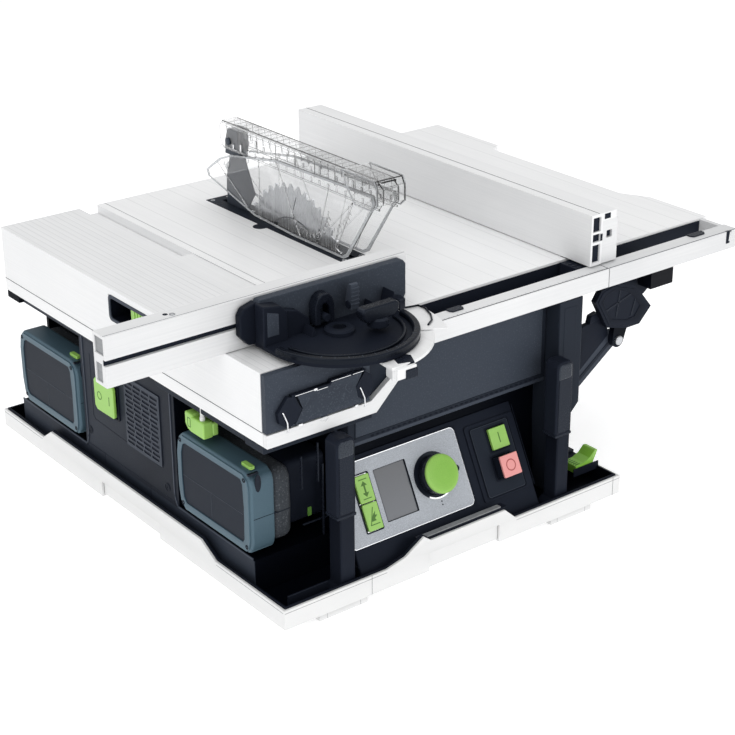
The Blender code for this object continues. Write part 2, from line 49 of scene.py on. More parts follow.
# ================================================================ materials
class Nodes:
    """Small helper that adds and wires shader nodes."""

    def __init__(self, name):
        self.mat = bpy.data.materials.new(name)
        self.mat.use_nodes = True
        self.t = self.mat.node_tree
        self.bsdf = self.t.nodes["Principled BSDF"]
        self.coord = self.t.nodes.new("ShaderNodeTexCoord").outputs["Object"]

    def link(self, a, b):
        self.t.links.new(a, b)

    def stretch(self, sx, sy, sz):
        m = self.t.nodes.new("ShaderNodeMapping")
        m.inputs["Scale"].default_value = (sx, sy, sz)
        self.link(self.coord, m.inputs["Vector"])
        return m.outputs["Vector"]

    def noise(self, scale, detail=2.0, rough=0.5, vector=None):
        n = self.t.nodes.new("ShaderNodeTexNoise")
        n.inputs["Scale"].default_value = scale
        n.inputs["Detail"].default_value = detail
        n.inputs["Roughness"].default_value = rough
        self.link(vector or self.coord, n.inputs["Vector"])
        return n.outputs["Fac"]

    def voronoi(self, scale, feature="F1", vector=None):
        n = self.t.nodes.new("ShaderNodeTexVoronoi")
        n.feature = feature
        n.inputs["Scale"].default_value = scale
        self.link(vector or self.coord, n.inputs["Vector"])
        return n.outputs["Distance"]

    def remap(self, value, a, b, lo, hi):
        n = self.t.nodes.new("ShaderNodeMapRange")
        n.inputs["From Min"].default_value, n.inputs["From Max"].default_value = a, b
        n.inputs["To Min"].default_value, n.inputs["To Max"].default_value = lo, hi
        self.link(value, n.inputs["Value"])
        return n.outputs["Result"]

    def math(self, op, a, b=None, c=None):
        n = self.t.nodes.new("ShaderNodeMath")
        n.operation = op
        for i, v in enumerate((a, b, c)):
            if v is None:
                continue
            if isinstance(v, (int, float)):
                n.inputs[i].default_value = v
            else:
                self.link(v, n.inputs[i])
        return n.outputs[0]

    def mix(self, fac, a, b):
        n = self.t.nodes.new("ShaderNodeMix")
        n.data_type = "RGBA"
        if isinstance(fac, float):
            n.inputs["Factor"].default_value = fac
        else:
            self.link(fac, n.inputs["Factor"])
        for sock, v in ((6, a), (7, b)):
            if isinstance(v, tuple):
                n.inputs[sock].default_value = (*v, 1)
            else:
                self.link(v, n.inputs[sock])
        return n.outputs[2]

    def bump(self, height, strength, distance, normal=None):
        n = self.t.nodes.new("ShaderNodeBump")
        n.inputs["Strength"].default_value = strength
        n.inputs["Distance"].default_value = distance
        self.link(height, n.inputs["Height"])
        if normal is not None:
            self.link(normal, n.inputs["Normal"])
        return n.outputs["Normal"]

    def edges(self, lo=0.505, hi=0.56):
        g = self.t.nodes.new("ShaderNodeNewGeometry")
        return self.remap(g.outputs["Pointiness"], lo, hi, 0.0, 1.0)

    def axis(self):
        s = self.t.nodes.new("ShaderNodeSeparateXYZ")
        self.link(self.coord, s.inputs[0])
        return s.outputs

    def facing(self):
        g = self.t.nodes.new("ShaderNodeNewGeometry")
        s = self.t.nodes.new("ShaderNodeSeparateXYZ")
        self.link(g.outputs["Normal"], s.inputs[0])
        return s.outputs

    def set(self, key, value):
        if isinstance(value, (int, float)):
            self.bsdf.inputs[key].default_value = value
        elif isinstance(value, tuple):
            self.bsdf.inputs[key].default_value = (*value, 1)
        else:
            self.link(value, self.bsdf.inputs[key])


def grained(name, low, high, rough=0.45, grain=1500.0, depth=0.00012, strength=0.35, edge=None, speck=None, spec=0.5):
    """Moulded plastic: spark-eroded grain, faint cloudy tone, edges painted lighter as highlights and a little wear."""
    n = Nodes(name)
    fine = n.noise(grain, 3.0, 0.6)
    cloud = n.noise(9.0, 3.0, 0.55)
    tone = n.math("ADD", n.math("MULTIPLY", fine, 0.55), n.math("MULTIPLY", cloud, 0.45))
    col = n.mix(n.remap(tone, 0.38, 0.62, 0.0, 1.0), low, high)
    if speck:
        dots = n.remap(n.noise(grain * 0.8, 1.0, 0.4), 0.60, 0.68, 0.0, 1.0)
        col = n.mix(n.math("MULTIPLY", dots, 0.55), col, speck)
    # painted highlight with a little wear: pointiness mixes the edges towards the lighter edge colour
    if edge:
        col = n.mix(n.math("MULTIPLY", n.edges(), 0.5), col, edge)
    n.set("Base Color", col)
    n.set("Roughness", n.remap(n.math("ADD", fine, n.math("MULTIPLY", cloud, 0.6)), 0.5, 1.1, rough - 0.07, rough + 0.08))
    n.set("Normal", n.bump(fine, strength, depth))
    n.set("Specular IOR Level", spec)
    if spec < 0.4:
        n.set("Specular Tint", (0.72, 0.84, 1.0))
    return n.mat


def brushed(name, low, high, rough=0.34, metal=0.5, along="Y", grooves=None, streak=0.25):
    """Anodised aluminium drawn along one axis, with an optional set of fine grooves on its top face."""
    n = Nodes(name)
    s = [700.0, 700.0, 700.0]
    s["XYZ".index(along)] = 6.0
    lines = n.noise(1.0, 4.0, 0.65, n.stretch(*s))
    smear = n.noise(7.0, 3.0, 0.6)
    tone = n.math("ADD", n.math("MULTIPLY", lines, 0.6), n.math("MULTIPLY", smear, 0.4))
    col = n.mix(n.remap(tone, 0.35, 0.65, 0.0, 1.0), low, high)
    normal = n.bump(lines, streak, 0.00003)
    if grooves:
        x0, pitch, width, top = grooves
        ax = n.axis()
        ph = n.math("FRACT", n.math("DIVIDE", n.math("SUBTRACT", ax[0], x0), pitch))
        line = n.math("LESS_THAN", ph, width / pitch)
        up = n.math("GREATER_THAN", n.facing()[2], 0.9)
        line = n.math("MULTIPLY", line, up)
        if top is not None:
            line = n.math("MULTIPLY", line, n.math("LESS_THAN", ax[0], top))
        col = n.mix(n.math("MULTIPLY", line, 0.20), col, (0.25, 0.26, 0.27))
        normal = n.bump(n.math("MULTIPLY", line, -1.0), 0.4, 0.0002, normal)
    n.set("Base Color", col)
    n.set("Roughness", n.remap(lines, 0.3, 0.7, rough - 0.06, rough + 0.08))
    n.set("Metallic", metal)
    n.set("Normal", normal)
    return n.mat


def housing(name):
    """Slate moulding: outer sides and back in lit slate, bays and inner faces in a near-black painted shade."""
    n = Nodes(name)
    fine = n.noise(1250.0, 3.0, 0.6)
    cloud = n.noise(9.0, 3.0, 0.55)
    tone = n.math("ADD", n.math("MULTIPLY", fine, 0.55), n.math("MULTIPLY", cloud, 0.45))
    lit = n.mix(n.remap(tone, 0.38, 0.62, 0.0, 1.0), (0.0040, 0.0056, 0.0105), (0.0098, 0.0125, 0.0205))
    shaded = n.mix(n.remap(tone, 0.38, 0.62, 0.0, 1.0), (0.0008, 0.0012, 0.0026), (0.0022, 0.0030, 0.0058))
    ax = n.axis()
    off = NODES["main_housing"].matrix_world.translation
    left = n.math("LESS_THAN", ax[0], (10.6 - OX) / 1000 - off.x)
    right = n.math("GREATER_THAN", ax[0], (348.5 - OX) / 1000 - off.x)
    back = n.math("GREATER_THAN", ax[1], (479.0 - OY) / 1000 - off.y)
    outer = n.math("MAXIMUM", n.math("MAXIMUM", left, right), back)
    # painted shade: faces off the outer sides and back take the darker copy of the slate
    col = n.mix(outer, shaded, lit)
    # painted highlight along the edges of the outer faces
    n.set("Base Color", n.mix(n.math("MULTIPLY", n.math("MULTIPLY", n.edges(), 0.5), outer), col, (0.042, 0.051, 0.070)))
    n.set("Roughness", n.remap(fine, 0.3, 0.7, 0.44, 0.58))
    n.set("Normal", n.bump(fine, 0.4, 0.00015))
    n.set("Specular IOR Level", n.remap(outer, 0.0, 1.0, 0.05, 0.13))
    n.set("Specular Tint", (0.72, 0.84, 1.0))
    return n.mat


def split_height(name, z, low, base):
    """Anodised profile whose part under height z is black moulding."""
    mat = brushed(name, *base)
    n = mat.node_tree
    bs = n.nodes["Principled BSDF"]
    tc = n.nodes.new("ShaderNodeTexCoord")
    geo = n.nodes.new("ShaderNodeNewGeometry")
    sep = n.nodes.new("ShaderNodeSeparateXYZ")
    n.links.new(tc.outputs["Object"], sep.inputs[0])
    less = n.nodes.new("ShaderNodeMath")
    less.operation = "LESS_THAN"
    less.inputs[1].default_value = z
    n.links.new(sep.outputs[2], less.inputs[0])
    grain = n.nodes.new("ShaderNodeTexNoise")
    grain.inputs["Scale"].default_value = 1300
    n.links.new(tc.outputs["Object"], grain.inputs["Vector"])
    dark = n.nodes.new("ShaderNodeMix")
    dark.data_type = "RGBA"
    dark.inputs[6].default_value, dark.inputs[7].default_value = (*low[0], 1), (*low[1], 1)
    n.links.new(grain.outputs["Fac"], dark.inputs["Factor"])
    mx = n.nodes.new("ShaderNodeMix")
    mx.data_type = "RGBA"
    n.links.new(less.outputs[0], mx.inputs["Factor"])
    n.links.new(bs.inputs["Base Color"].links[0].from_socket, mx.inputs[6])
    n.links.new(dark.outputs[2], mx.inputs[7])
    n.links.new(mx.outputs[2], bs.inputs["Base Color"])
    met = n.nodes.new("ShaderNodeMath")
    met.operation = "MULTIPLY_ADD"
    met.inputs[1].default_value, met.inputs[2].default_value = -0.14, 0.14
    n.links.new(less.outputs[0], met.inputs[0])
    n.links.new(met.outputs[0], bs.inputs["Metallic"])
    spc = n.nodes.new("ShaderNodeMath")
    spc.operation = "MULTIPLY_ADD"
    spc.inputs[1].default_value, spc.inputs[2].default_value = -0.4, 0.5
    n.links.new(less.outputs[0], spc.inputs[0])
    n.links.new(spc.outputs[0], bs.inputs["Specular IOR Level"])
    n.nodes.remove(geo)
    return mat


def clear(name):
    """Clear moulded polycarbonate with faint scratches and a slightly smoky body."""
    n = Nodes(name)
    haze = n.noise(30.0, 3.0, 0.6)
    scratch = n.noise(1.0, 2.0, 0.5, n.stretch(900, 60, 300))
    n.set("Base Color", n.mix(haze, (0.97, 0.975, 0.98), (1.0, 1.0, 1.0)))
    n.set("Roughness", n.remap(scratch, 0.35, 0.75, 0.0, 0.04))
    n.set("Transmission Weight", 1.0)
    n.set("IOR", 1.42)
    n.set("Normal", n.bump(haze, 0.03, 0.0004))
    return n.mat


def frosted(name):
    """Cut and moulded edges of the clear guard: paler, scattering light instead of letting it through."""
    n = Nodes(name)
    haze = n.noise(60.0, 3.0, 0.6)
    n.set("Base Color", n.mix(haze, (0.62, 0.65, 0.68), (0.95, 0.96, 0.97)))
    n.set("Roughness", n.remap(haze, 0.3, 0.7, 0.10, 0.30))
    n.set("Transmission Weight", 0.7)
    n.set("IOR", 1.48)
    n.set("Normal", n.bump(haze, 0.15, 0.0004))
    return n.mat


def speckled(name):
    """Screen-printed panel foil: silver grey with a fine dark and light speckle."""
    n = Nodes(name)
    a = n.noise(2300.0, 2.0, 0.7)
    b = n.noise(14.0, 2.0, 0.5)
    col = n.mix(n.remap(a, 0.42, 0.6, 0.0, 1.0), (0.25, 0.27, 0.30), (0.52, 0.55, 0.60))
    col = n.mix(n.remap(b, 0.3, 0.7, 0.0, 0.25), col, (0.55, 0.58, 0.62))
    n.set("Base Color", col)
    n.set("Roughness", n.remap(a, 0.4, 0.6, 0.35, 0.55))
    n.set("Metallic", 0.25)
    n.set("Normal", n.bump(a, 0.25, 0.00006))
    return n.mat


def screen(name):
    n = Nodes(name)
    ax = n.axis()
    # painted reflection: the glass is lighter towards its bottom and darker towards its top
    grad = n.remap(ax[2], 0.045, 0.1, 0.0, 1.0)
    veil = n.noise(25.0, 2.0)
    n.set("Base Color", n.mix(grad, (0.085, 0.095, 0.115), (0.032, 0.037, 0.048)))
    n.set("Roughness", n.remap(veil, 0.3, 0.7, 0.10, 0.2))
    n.set("Coat Weight", 0.6)
    n.set("Coat Roughness", 0.05)
    return n.mat


def ground_steel(name, low, high, rough=0.28, axis="Y"):
    return brushed(name, low, high, rough, 0.95, axis, None, 0.4)


def floor_mat(name):
    n = Nodes(name)
    c = n.noise(3.0, 4.0, 0.6)
    n.set("Base Color", n.mix(c, (0.90, 0.90, 0.905), (0.94, 0.94, 0.94)))
    n.set("Roughness", 0.9)
    n.set("Specular IOR Level", 0.0)
    n.set("Emission Color", n.mix(c, (0.97, 0.97, 0.97), (1.0, 1.0, 1.0)))
    n.set("Emission Strength", 0.42)
    n.set("Normal", n.bump(n.noise(900.0), 0.05, 0.0002))
    return n.mat


white = grained("case_white", (0.615, 0.62, 0.62), (0.665, 0.668, 0.665), 0.42, 1400, 0.00006, 0.25, edge=(0.95, 0.95, 0.95))
black = grained("black_moulding", (0.0008, 0.0012, 0.0027), (0.0022, 0.0030, 0.0060), 0.44, 1300, 0.0001, 0.35,
                edge=(0.022, 0.027, 0.042), spec=0.065)
black_gloss = grained("black_gloss", (0.0009, 0.0013, 0.0028), (0.0022, 0.0030, 0.0058), 0.24, 900, 0.00003, 0.2,
                      edge=(0.022, 0.027, 0.041), spec=0.15)
slate = grained("slate_moulding", (0.0095, 0.0122, 0.0195), (0.0190, 0.0235, 0.0345), 0.48, 1250, 0.00015, 0.45,
                edge=(0.085, 0.100, 0.130), spec=0.16)
slate_coarse = grained("slate_coarse", (0.0060, 0.0078, 0.0128), (0.0165, 0.0200, 0.0285), 0.50, 900, 0.0002, 0.60,
                       edge=(0.065, 0.078, 0.102), speck=(0.070, 0.081, 0.100), spec=0.15)
slate_dark = grained("slate_dark", (0.0022, 0.0031, 0.0060), (0.0052, 0.0068, 0.0115), 0.5, 1250, 0.00015, 0.4,
                     edge=(0.030, 0.037, 0.052), spec=0.085)
neck_grey = grained("neck_grey", (0.030, 0.034, 0.040), (0.055, 0.061, 0.069), 0.55, 700, 0.0003, 0.8,
                    speck=(0.13, 0.138, 0.15), spec=0.2)
teal = grained("battery_teal", (0.026, 0.052, 0.074), (0.044, 0.082, 0.110), 0.40, 1500, 0.00008, 0.3,
               edge=(0.15, 0.24, 0.29), spec=0.32)
green = grained("lime_plastic", (0.185, 0.42, 0.036), (0.24, 0.52, 0.056), 0.36, 1500, 0.00005, 0.2, edge=(0.45, 0.74, 0.21))
green_dark = grained("green_mark", (0.05, 0.15, 0.012), (0.07, 0.19, 0.016), 0.5, 1500, 0.00005, 0.2)
red = grained("stop_red", (0.66, 0.19, 0.18), (0.76, 0.25, 0.24), 0.4, 1500, 0.00005, 0.2, edge=(0.9, 0.45, 0.43))
red_dark = grained("red_mark", (0.34, 0.05, 0.05), (0.40, 0.07, 0.07), 0.5, 1500, 0.00005, 0.2)
rubber = grained("black_rubber", (0.003, 0.0035, 0.0055), (0.007, 0.008, 0.011), 0.72, 700, 0.0002, 0.5, spec=0.10)
alu = brushed("anodised_long", (0.790, 0.796, 0.804), (0.865, 0.868, 0.872), 0.40, 0.12, "Y")
alu_x = brushed("anodised_cross", (0.705, 0.712, 0.720), (0.785, 0.79, 0.795), 0.40, 0.13, "X")
alu_table = brushed("table_surface", (0.845, 0.850, 0.856), (0.910, 0.913, 0.917), 0.40, 0.08, "Y",
                    ((122 - OX) / 1000, 0.0245, 0.0009, None))
alu_slide = brushed("slide_surface", (0.765, 0.772, 0.780), (0.840, 0.845, 0.850), 0.40, 0.09, "Y",
                    ((9 - OX) / 1000, 0.0066, 0.0008, (88 - OX) / 1000))
# dull dark aluminium for the handle bar, ticks and lines; also painted shade inside the mitre fence's end cells
alu_dull_and_shade = brushed("alu_inside", (0.24, 0.25, 0.26), (0.36, 0.37, 0.38), 0.5, 0.4, "Y")
steel = ground_steel("ground_steel", (0.42, 0.43, 0.45), (0.58, 0.59, 0.61))
blade_steel = ground_steel("blade_steel", (0.50, 0.51, 0.53), (0.70, 0.71, 0.73), 0.24, "Z")
knife_dark = grained("knife_dark", (0.010, 0.014, 0.024), (0.020, 0.026, 0.040), 0.38, 1200, 0.00008, 0.3,
                     edge=(0.10, 0.115, 0.14), spec=0.25)
wire = ground_steel("bright_wire", (0.66, 0.67, 0.69), (0.82, 0.83, 0.85), 0.2, "Z")
# glossy cap plastic whose lighter colour is a painted highlight on the rounded post tops
cap_gloss_highlight = grained("cap_gloss_highlight", (0.006, 0.0078, 0.0120), (0.013, 0.016, 0.022), 0.26, 900, 0.00008, 0.4,
                    edge=(0.05, 0.057, 0.072), spec=0.34)
rail_mix = split_height("rail_profile", (187.9 - FLOOR) / 1000 - NODES["rail_extension"].matrix_world.translation.z, ((0.0012, 0.0017, 0.0036), (0.0032, 0.0042, 0.0080)),
                        ((0.655, 0.662, 0.672), (0.745, 0.75, 0.755), 0.40, 0.14, "X"))
body_slate = housing("housing_moulding")
glass = clear("clear_guard")
glass_edge = frosted("guard_edges")
panel = speckled("panel_speckle")
lcd = screen("display_glass")

# ================================================================ CAD nodes: finish and rounded edges
FINISH = {
    "base_tray": (white, 0.9), "tray_liner": (black, 0.5), "main_housing": (body_slate, 0.8), "control_cowl": (black, 1.5),
    "front_panel": (slate_dark, 0.8), "right_pillar": (slate_dark, 1.0), "left_post": (black, 1.8),
    "right_post": (black, 1.8), "control_electronics": (black, 0.8), "dust_port": (black, 0.6),
    "vent_grille": (slate_dark, 0.25), "front_rail": (alu_x, 0.35), "slide_base": (alu, 0.35), "guide_rail": (alu, 0.4),
    "main_table": (alu_table, 0.5), "table_insert": (slate_dark, 0.3), "wing_hinge_pin": (steel, 0.2),
    "trunnion_front": (steel, 0.3), "trunnion_rear": (steel, 0.3), "tilt_cradle": (steel, 0.4), "lift_screw": (steel, 0.2),
    "lift_carriage": (steel, 0.3), "gear_case": (slate, 0.6), "motor_housing": (black, 0.8), "motor_rotor": (steel, 0.2),
    "arbor": (steel, 0.2), "saw_blade": (blade_steel, 0.12), "riving_knife": (knife_dark, 0.2),
    "sliding_table": (alu_slide, 0.3), "slide_end_cap": (slate_coarse, 0.4), "tool_holder": (slate_coarse, 0.7),
    "slide_pocket": (slate_dark, 0.6), "slide_button": (green, 0.8), "mitre_base": (alu, 0.4), "mitre_fence": (alu_x, 0.35),
    "rip_fence": (alu, 0.3), "fence_bracket": (alu_x, 0.4), "fence_carriage": (black, 0.5), "extension_wing": (alu_table, 0.5),
    "rail_extension": (rail_mix, 0.35), "brace_upper": (black, 0.6), "brace_lower": (slate, 0.6), "main_switch": (green, 1.0),
    "lock_lever": (green, 1.6),
}


def dress(ob, width, seg=2, angle=28):
    w = ob.modifiers.new("weld", "WELD")
    w.merge_threshold = 0.000005
    if width:
        d = ob.modifiers.new("flat", "DECIMATE")
        d.decimate_type = "DISSOLVE"
        d.angle_limit = math.radians(0.6)
        b = ob.modifiers.new("round", "BEVEL")
        b.width = width / 1000
        b.segments = seg
        b.limit_method = "ANGLE"
        b.angle_limit = math.radians(angle)
        b.harden_normals = True
        b.use_clamp_overlap = True
        b.miter_outer = "MITER_ARC"


def paint(ob, mat):
    for i in range(len(ob.material_slots)):
        ob.material_slots[i].material = mat
    if not ob.material_slots:
        ob.data.materials.append(mat)


for node, (mat, width) in FINISH.items():
    paint(NODES[node], mat)
    dress(NODES[node], width)

# ================================================================ shapes
AX = {"X": Matrix(((0, 0, 1), (1, 0, 0), (0, 1, 0))).to_4x4(), "Y": Matrix(((1, 0, 0), (0, 0, -1), (0, 1, 0))).to_4x4(),
      "Z": Matrix.Identity(4)}
SLOPE = math.atan2(33.0, 64.0)
_u = Vector((0, math.sin(SLOPE), math.cos(SLOPE)))
_n = Vector((0, -math.cos(SLOPE), math.sin(SLOPE)))
PANEL = Matrix(((1, _u[0], _n[0], 0), (0, _u[1], _n[1], 20), (0, _u[2], _n[2], 18), (0, 0, 0, 1)))


def finish(name, bm, mat, body, bevel=0.0, seg=2, replaces=(), angle=35, subsurf=0):
    bmesh.ops.transform(bm, matrix=TO_WORLD, verts=bm.verts)
    bmesh.ops.recalc_face_normals(bm, faces=bm.faces)
    me = bpy.data.meshes.new(name)
    bm.to_mesh(me)
    bm.free()
    ob = bpy.data.objects.new(name, me)
    SCENE.collection.objects.link(ob)
    me.materials.append(mat)
    me.shade_smooth()
    me.set_sharp_from_angle(angle=math.radians(angle))
    if bevel:
        b = ob.modifiers.new("round", "BEVEL")
        b.width = bevel / 1000
        b.segments = seg
        b.limit_method = "ANGLE"
        b.angle_limit = math.radians(30)
        b.harden_normals = True
    if subsurf:
        s = ob.modifiers.new("soft", "SUBSURF")
        s.levels = s.render_levels = subsurf
    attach(ob, body)
    if replaces:
        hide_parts(*replaces)
    return ob


def outline(loops, depth):
    cu = bpy.data.curves.new("outline", "CURVE")
    cu.dimensions = "2D"
    cu.fill_mode = "BOTH"
    cu.extrude = depth / 2
    for pts in loops:
        sp = cu.splines.new("POLY")
        sp.points.add(len(pts) - 1)
        for i, (a, b) in enumerate(pts):
            sp.points[i].co = (a, b, 0, 1)
        sp.use_cyclic_u = True
    ob = bpy.data.objects.new("outline", cu)
    SCENE.collection.objects.link(ob)
    dg = bpy.context.evaluated_depsgraph_get()
    dg.update()
    me = bpy.data.meshes.new_from_object(ob.evaluated_get(dg))
    bpy.data.objects.remove(ob, do_unlink=True)
    bpy.data.curves.remove(cu)
    bm = bmesh.new()
    bm.from_mesh(me)
    bpy.data.meshes.remove(me)
    bmesh.ops.remove_doubles(bm, verts=bm.verts, dist=0.001)
    bmesh.ops.dissolve_limit(bm, angle_limit=math.radians(0.5), verts=bm.verts, edges=bm.edges)
    return bm


def flat(pts, a0, a1, to="Z", holes=()):
    """Outline extruded from a0 to a1: (y, z) for X, (x, z) for Y, (x, y) for Z, or in any 4x4 frame."""
    bm = outline([pts, *holes], a1 - a0)
    m = AX[to] if isinstance(to, str) else to
    # the outline's own z runs along the axis; AX["Y"] turns it backwards
    mid = (a0 + a1) / 2
    if to == "Y":
        mid = -mid
    bmesh.ops.transform(bm, matrix=m @ Matrix.Translation((0, 0, mid)), verts=bm.verts)
    return bm


def add(bm, other):
    me = bpy.data.meshes.new("tmp")
    other.to_mesh(me)
    other.free()
    bm.from_mesh(me)
    bpy.data.meshes.remove(me)
    return bm


def block(x0, x1, y0, y1, z0, z1, m=None):
    bm = bmesh.new()
    bmesh.ops.create_cube(bm, size=1.0)
    bmesh.ops.scale(bm, vec=(x1 - x0, y1 - y0, z1 - z0), verts=bm.verts)
    bmesh.ops.translate(bm, vec=((x0 + x1) / 2, (y0 + y1) / 2, (z0 + z1) / 2), verts=bm.verts)
    if m is not None:
        bmesh.ops.transform(bm, matrix=m, verts=bm.verts)
    return bm


def ring(cx, cy, r, n=40, a0=0.0, a1=360.0):
    full = abs(a1 - a0) >= 360
    k = n if full else n + 1
    return [(cx + r * math.cos(math.radians(a0 + (a1 - a0) * i / n)),
             cy + r * math.sin(math.radians(a0 + (a1 - a0) * i / n))) for i in range(k)]


def rrect(x0, x1, y0, y1, r, n=5):
    out = []
    for cx, cy, a in ((x1 - r, y1 - r, 0), (x0 + r, y1 - r, 90), (x0 + r, y0 + r, 180), (x1 - r, y0 + r, 270)):
        out += ring(cx, cy, r, n, a, a + 90)
    return out


def lathe(profile, m, n=40):
    """Profile of (radius, height) turned about the frame's z axis."""
    bm = bmesh.new()
    rows = []
    for r, h in profile:
        if r < 1e-6:
            rows.append([bm.verts.new((0, 0, h))] * n)
        else:
            rows.append([bm.verts.new((r * math.cos(2 * math.pi * i / n), r * math.sin(2 * math.pi * i / n), h))
                         for i in range(n)])
    for a, b in zip(rows, rows[1:]):
        for i in range(n):
            j = (i + 1) % n
            vs = []
            for v in (a[i], a[j], b[j], b[i]):
                if v not in vs:
                    vs.append(v)
            if len(vs) > 2:
                bm.faces.new(vs)
    bmesh.ops.transform(bm, matrix=m, verts=bm.verts)
    return bm


def at(x, y, z, axis="Z"):
    rot = {"Z": Matrix.Identity(4), "X": Matrix.Rotation(math.pi / 2, 4, "Y"), "-X": Matrix.Rotation(-math.pi / 2, 4, "Y"),
           "Y": Matrix.Rotation(-math.pi / 2, 4, "X"), "-Y": Matrix.Rotation(math.pi / 2, 4, "X")}[axis]
    return Matrix.Translation((x, y, z)) @ rot


def rod(points, r, n=10, closed=False):
    """Round wire along a list of points."""
    bm = bmesh.new()
    pts = [Vector(p) for p in points]
    rows = []
    prev = None
    for i, p in enumerate(pts):
        if i == 0:
            d = (pts[1] - p)
        elif i == len(pts) - 1:
            d = (p - pts[-2])
        else:
            d = (pts[i + 1] - p).normalized() + (p - pts[i - 1]).normalized()
        d.normalize()
        if prev is None:
            up = Vector((0, 0, 1)) if abs(d.z) < 0.9 else Vector((1, 0, 0))
            a = d.cross(up).normalized()
        else:
            a = (prev - d * prev.dot(d)).normalized()
        prev = a
        b = d.cross(a)
        rows.append([bm.verts.new(p + (a * math.cos(2 * math.pi * k / n) + b * math.sin(2 * math.pi * k / n)) * r)
                     for k in range(n)])
    for a, b in zip(rows, rows[1:]):
        for k in range(n):
            bm.faces.new((a[k], a[(k + 1) % n], b[(k + 1) % n], b[k]))
    bm.faces.new(rows[0][::-1])
    bm.faces.new(rows[-1])
    return bm


def screw_head(x, y, z, axis, r, h=0.9):
    """Countersunk torx-like screw head: flat disc with a star recess."""
    star = []
    for i in range(24):
        a = 2 * math.pi * i / 24
        star.append((r * 0.42 * (1 + 0.22 * math.cos(6 * a)) * math.cos(a), r * 0.42 * (1 + 0.22 * math.cos(6 * a)) * math.sin(a)))
    return flat(ring(0, 0, r, 24), 0, h, at(x, y, z, axis), [star])


# ================================================================ control panel
plate = flat(rrect(88.5, 228, -0.5, 72.5, 4.5), -1.5, 0.5, PANEL, [rrect(131, 167, 12, 60.5, 0.8), rrect(107.0, 125.0, 9.2, 61.0, 1.2)])
finish("control_foil", plate, panel, "chassis", 0.25, replaces=("control_plate",))
# painted highlight: a bright metal-coloured ring under the foil's rim stands in for the lit edge of the plate
finish("control_foil_edge_highlight", flat(rrect(87.9, 228.7, -1.1, 73.2, 5.0), -1.6, -0.2, PANEL, [rrect(130, 168, 11, 61.5, 0.8)]),
       wire, "chassis", 0.2)
finish("display_frame", flat(rrect(130.9, 167.1, 11.9, 60.6, 0.8), -1.5, 0.45, PANEL, [rrect(131.5, 166.5, 12.5, 60, 0.5)]),
       black, "chassis", 0.1)
finish("display_glass", flat(rrect(131.3, 166.7, 12.3, 60.2, 0.6), -1.4, -0.8, PANEL), lcd, "chassis", 0.1,
       replaces=("display",))
finish("key_gasket", flat(rrect(106.2, 125.8, 8.4, 61.8, 1.8), 0.3, 1.0, PANEL, [rrect(107.4, 124.6, 9.6, 60.6, 1.2)]), black_gloss,
       "chassis", 0.2)
finish("key_divider", block(107.2, 124.8, 34.65, 35.15, -1.3, 1.0, PANEL), black, "chassis")
finish("key_pit", block(107.1, 124.9, 9.3, 60.9, -1.6, -1.2, PANEL), black, "chassis")
finish("key_up_cap", flat(rrect(108, 124, 35.4, 60, 1.0), 1.1, 3.2, PANEL), green, "key_a", 0.5, replaces=("key_up",))
finish("key_down_cap", flat(rrect(108, 124, 10.2, 34.4, 1.0), 1.1, 3.2, PANEL), green, "key_b", 0.5, replaces=("key_down",))
mark = flat([(111.5, 56.6), (120.5, 56.6), (120.5, 55.8), (111.5, 55.8)], 3.15, 3.28, PANEL)
add(mark, flat([(116, 54.6), (119.4, 50.6), (116.9, 50.6), (116.9, 44.2), (119.4, 44.2), (116, 40.2), (112.6, 44.2),
                (115.1, 44.2), (115.1, 50.6), (112.6, 50.6)], 3.15, 3.28, PANEL))
add(mark, flat([(111.5, 39.2), (120.5, 39.2), (120.5, 38.4), (111.5, 38.4)], 3.15, 3.28, PANEL))
finish("key_up_mark", mark, green_dark, "key_a")
mark = flat([(111, 15.6), (121.5, 15.6), (121.5, 14.8), (111, 14.8)], 3.15, 3.28, PANEL)
add(mark, flat([(111.2, 15.2), (117.6, 30.6), (118.4, 30.2), (112.1, 15.2)], 3.15, 3.28, PANEL))
add(mark, flat([(113.5, 18), (118.5, 18.2), (117.5, 20.4), (120.8, 22.8), (118.4, 23.2), (119.5, 26.5), (116.4, 24), (114.6, 21.5)],
               3.15, 3.28, PANEL))
finish("key_down_mark", mark, green_dark, "key_b")

KX, KS = 193.0, 37.5
knob_ring = flat(ring(KX - 0.6, KS, 21.6, 56), 0.3, 0.9, PANEL)
add(knob_ring, flat(ring(219.0, 36.0, 3.1, 24), 0.3, 1.0, PANEL))
add(knob_ring, flat([(212, 33.6), (219, 33.6), (219, 38.4), (212, 38.4)], 0.3, 0.9, PANEL))
finish("knob_well", knob_ring, black_gloss, "chassis", 0.1)
finish("knob_gleam", flat(ring(KX, KS, 22.0, 24, 236, 304) + ring(KX, KS, 20.6, 24, 304, 236), 0.5, 1.1, PANEL),
       wire, "chassis", 0.1)
finish("knob_body", lathe([(0, 1.5), (18, 1.5), (18.3, 2.4), (18.1, 11.2), (17.2, 12.0), (0, 12.0)],
                          PANEL @ Matrix.Translation((KX, KS, 0)), 56), black_gloss, "knob", replaces=("menu_knob",))
finish("knob_cap", lathe([(17.4, 11.4), (18.0, 11.8), (18.15, 12.6), (17.8, 13.7), (16.9, 14.4), (14.5, 14.75), (8, 14.95), (0, 15)],
                         PANEL @ Matrix.Translation((KX, KS, 0)), 56), green, "knob", angle=60)
dots = flat(ring(193, 12.6, 0.75, 14), 0.45, 0.6, PANEL)
add(dots, flat(ring(193, 9.4, 0.75, 14), 0.45, 0.6, PANEL))
finish("panel_dots", dots, black, "chassis")

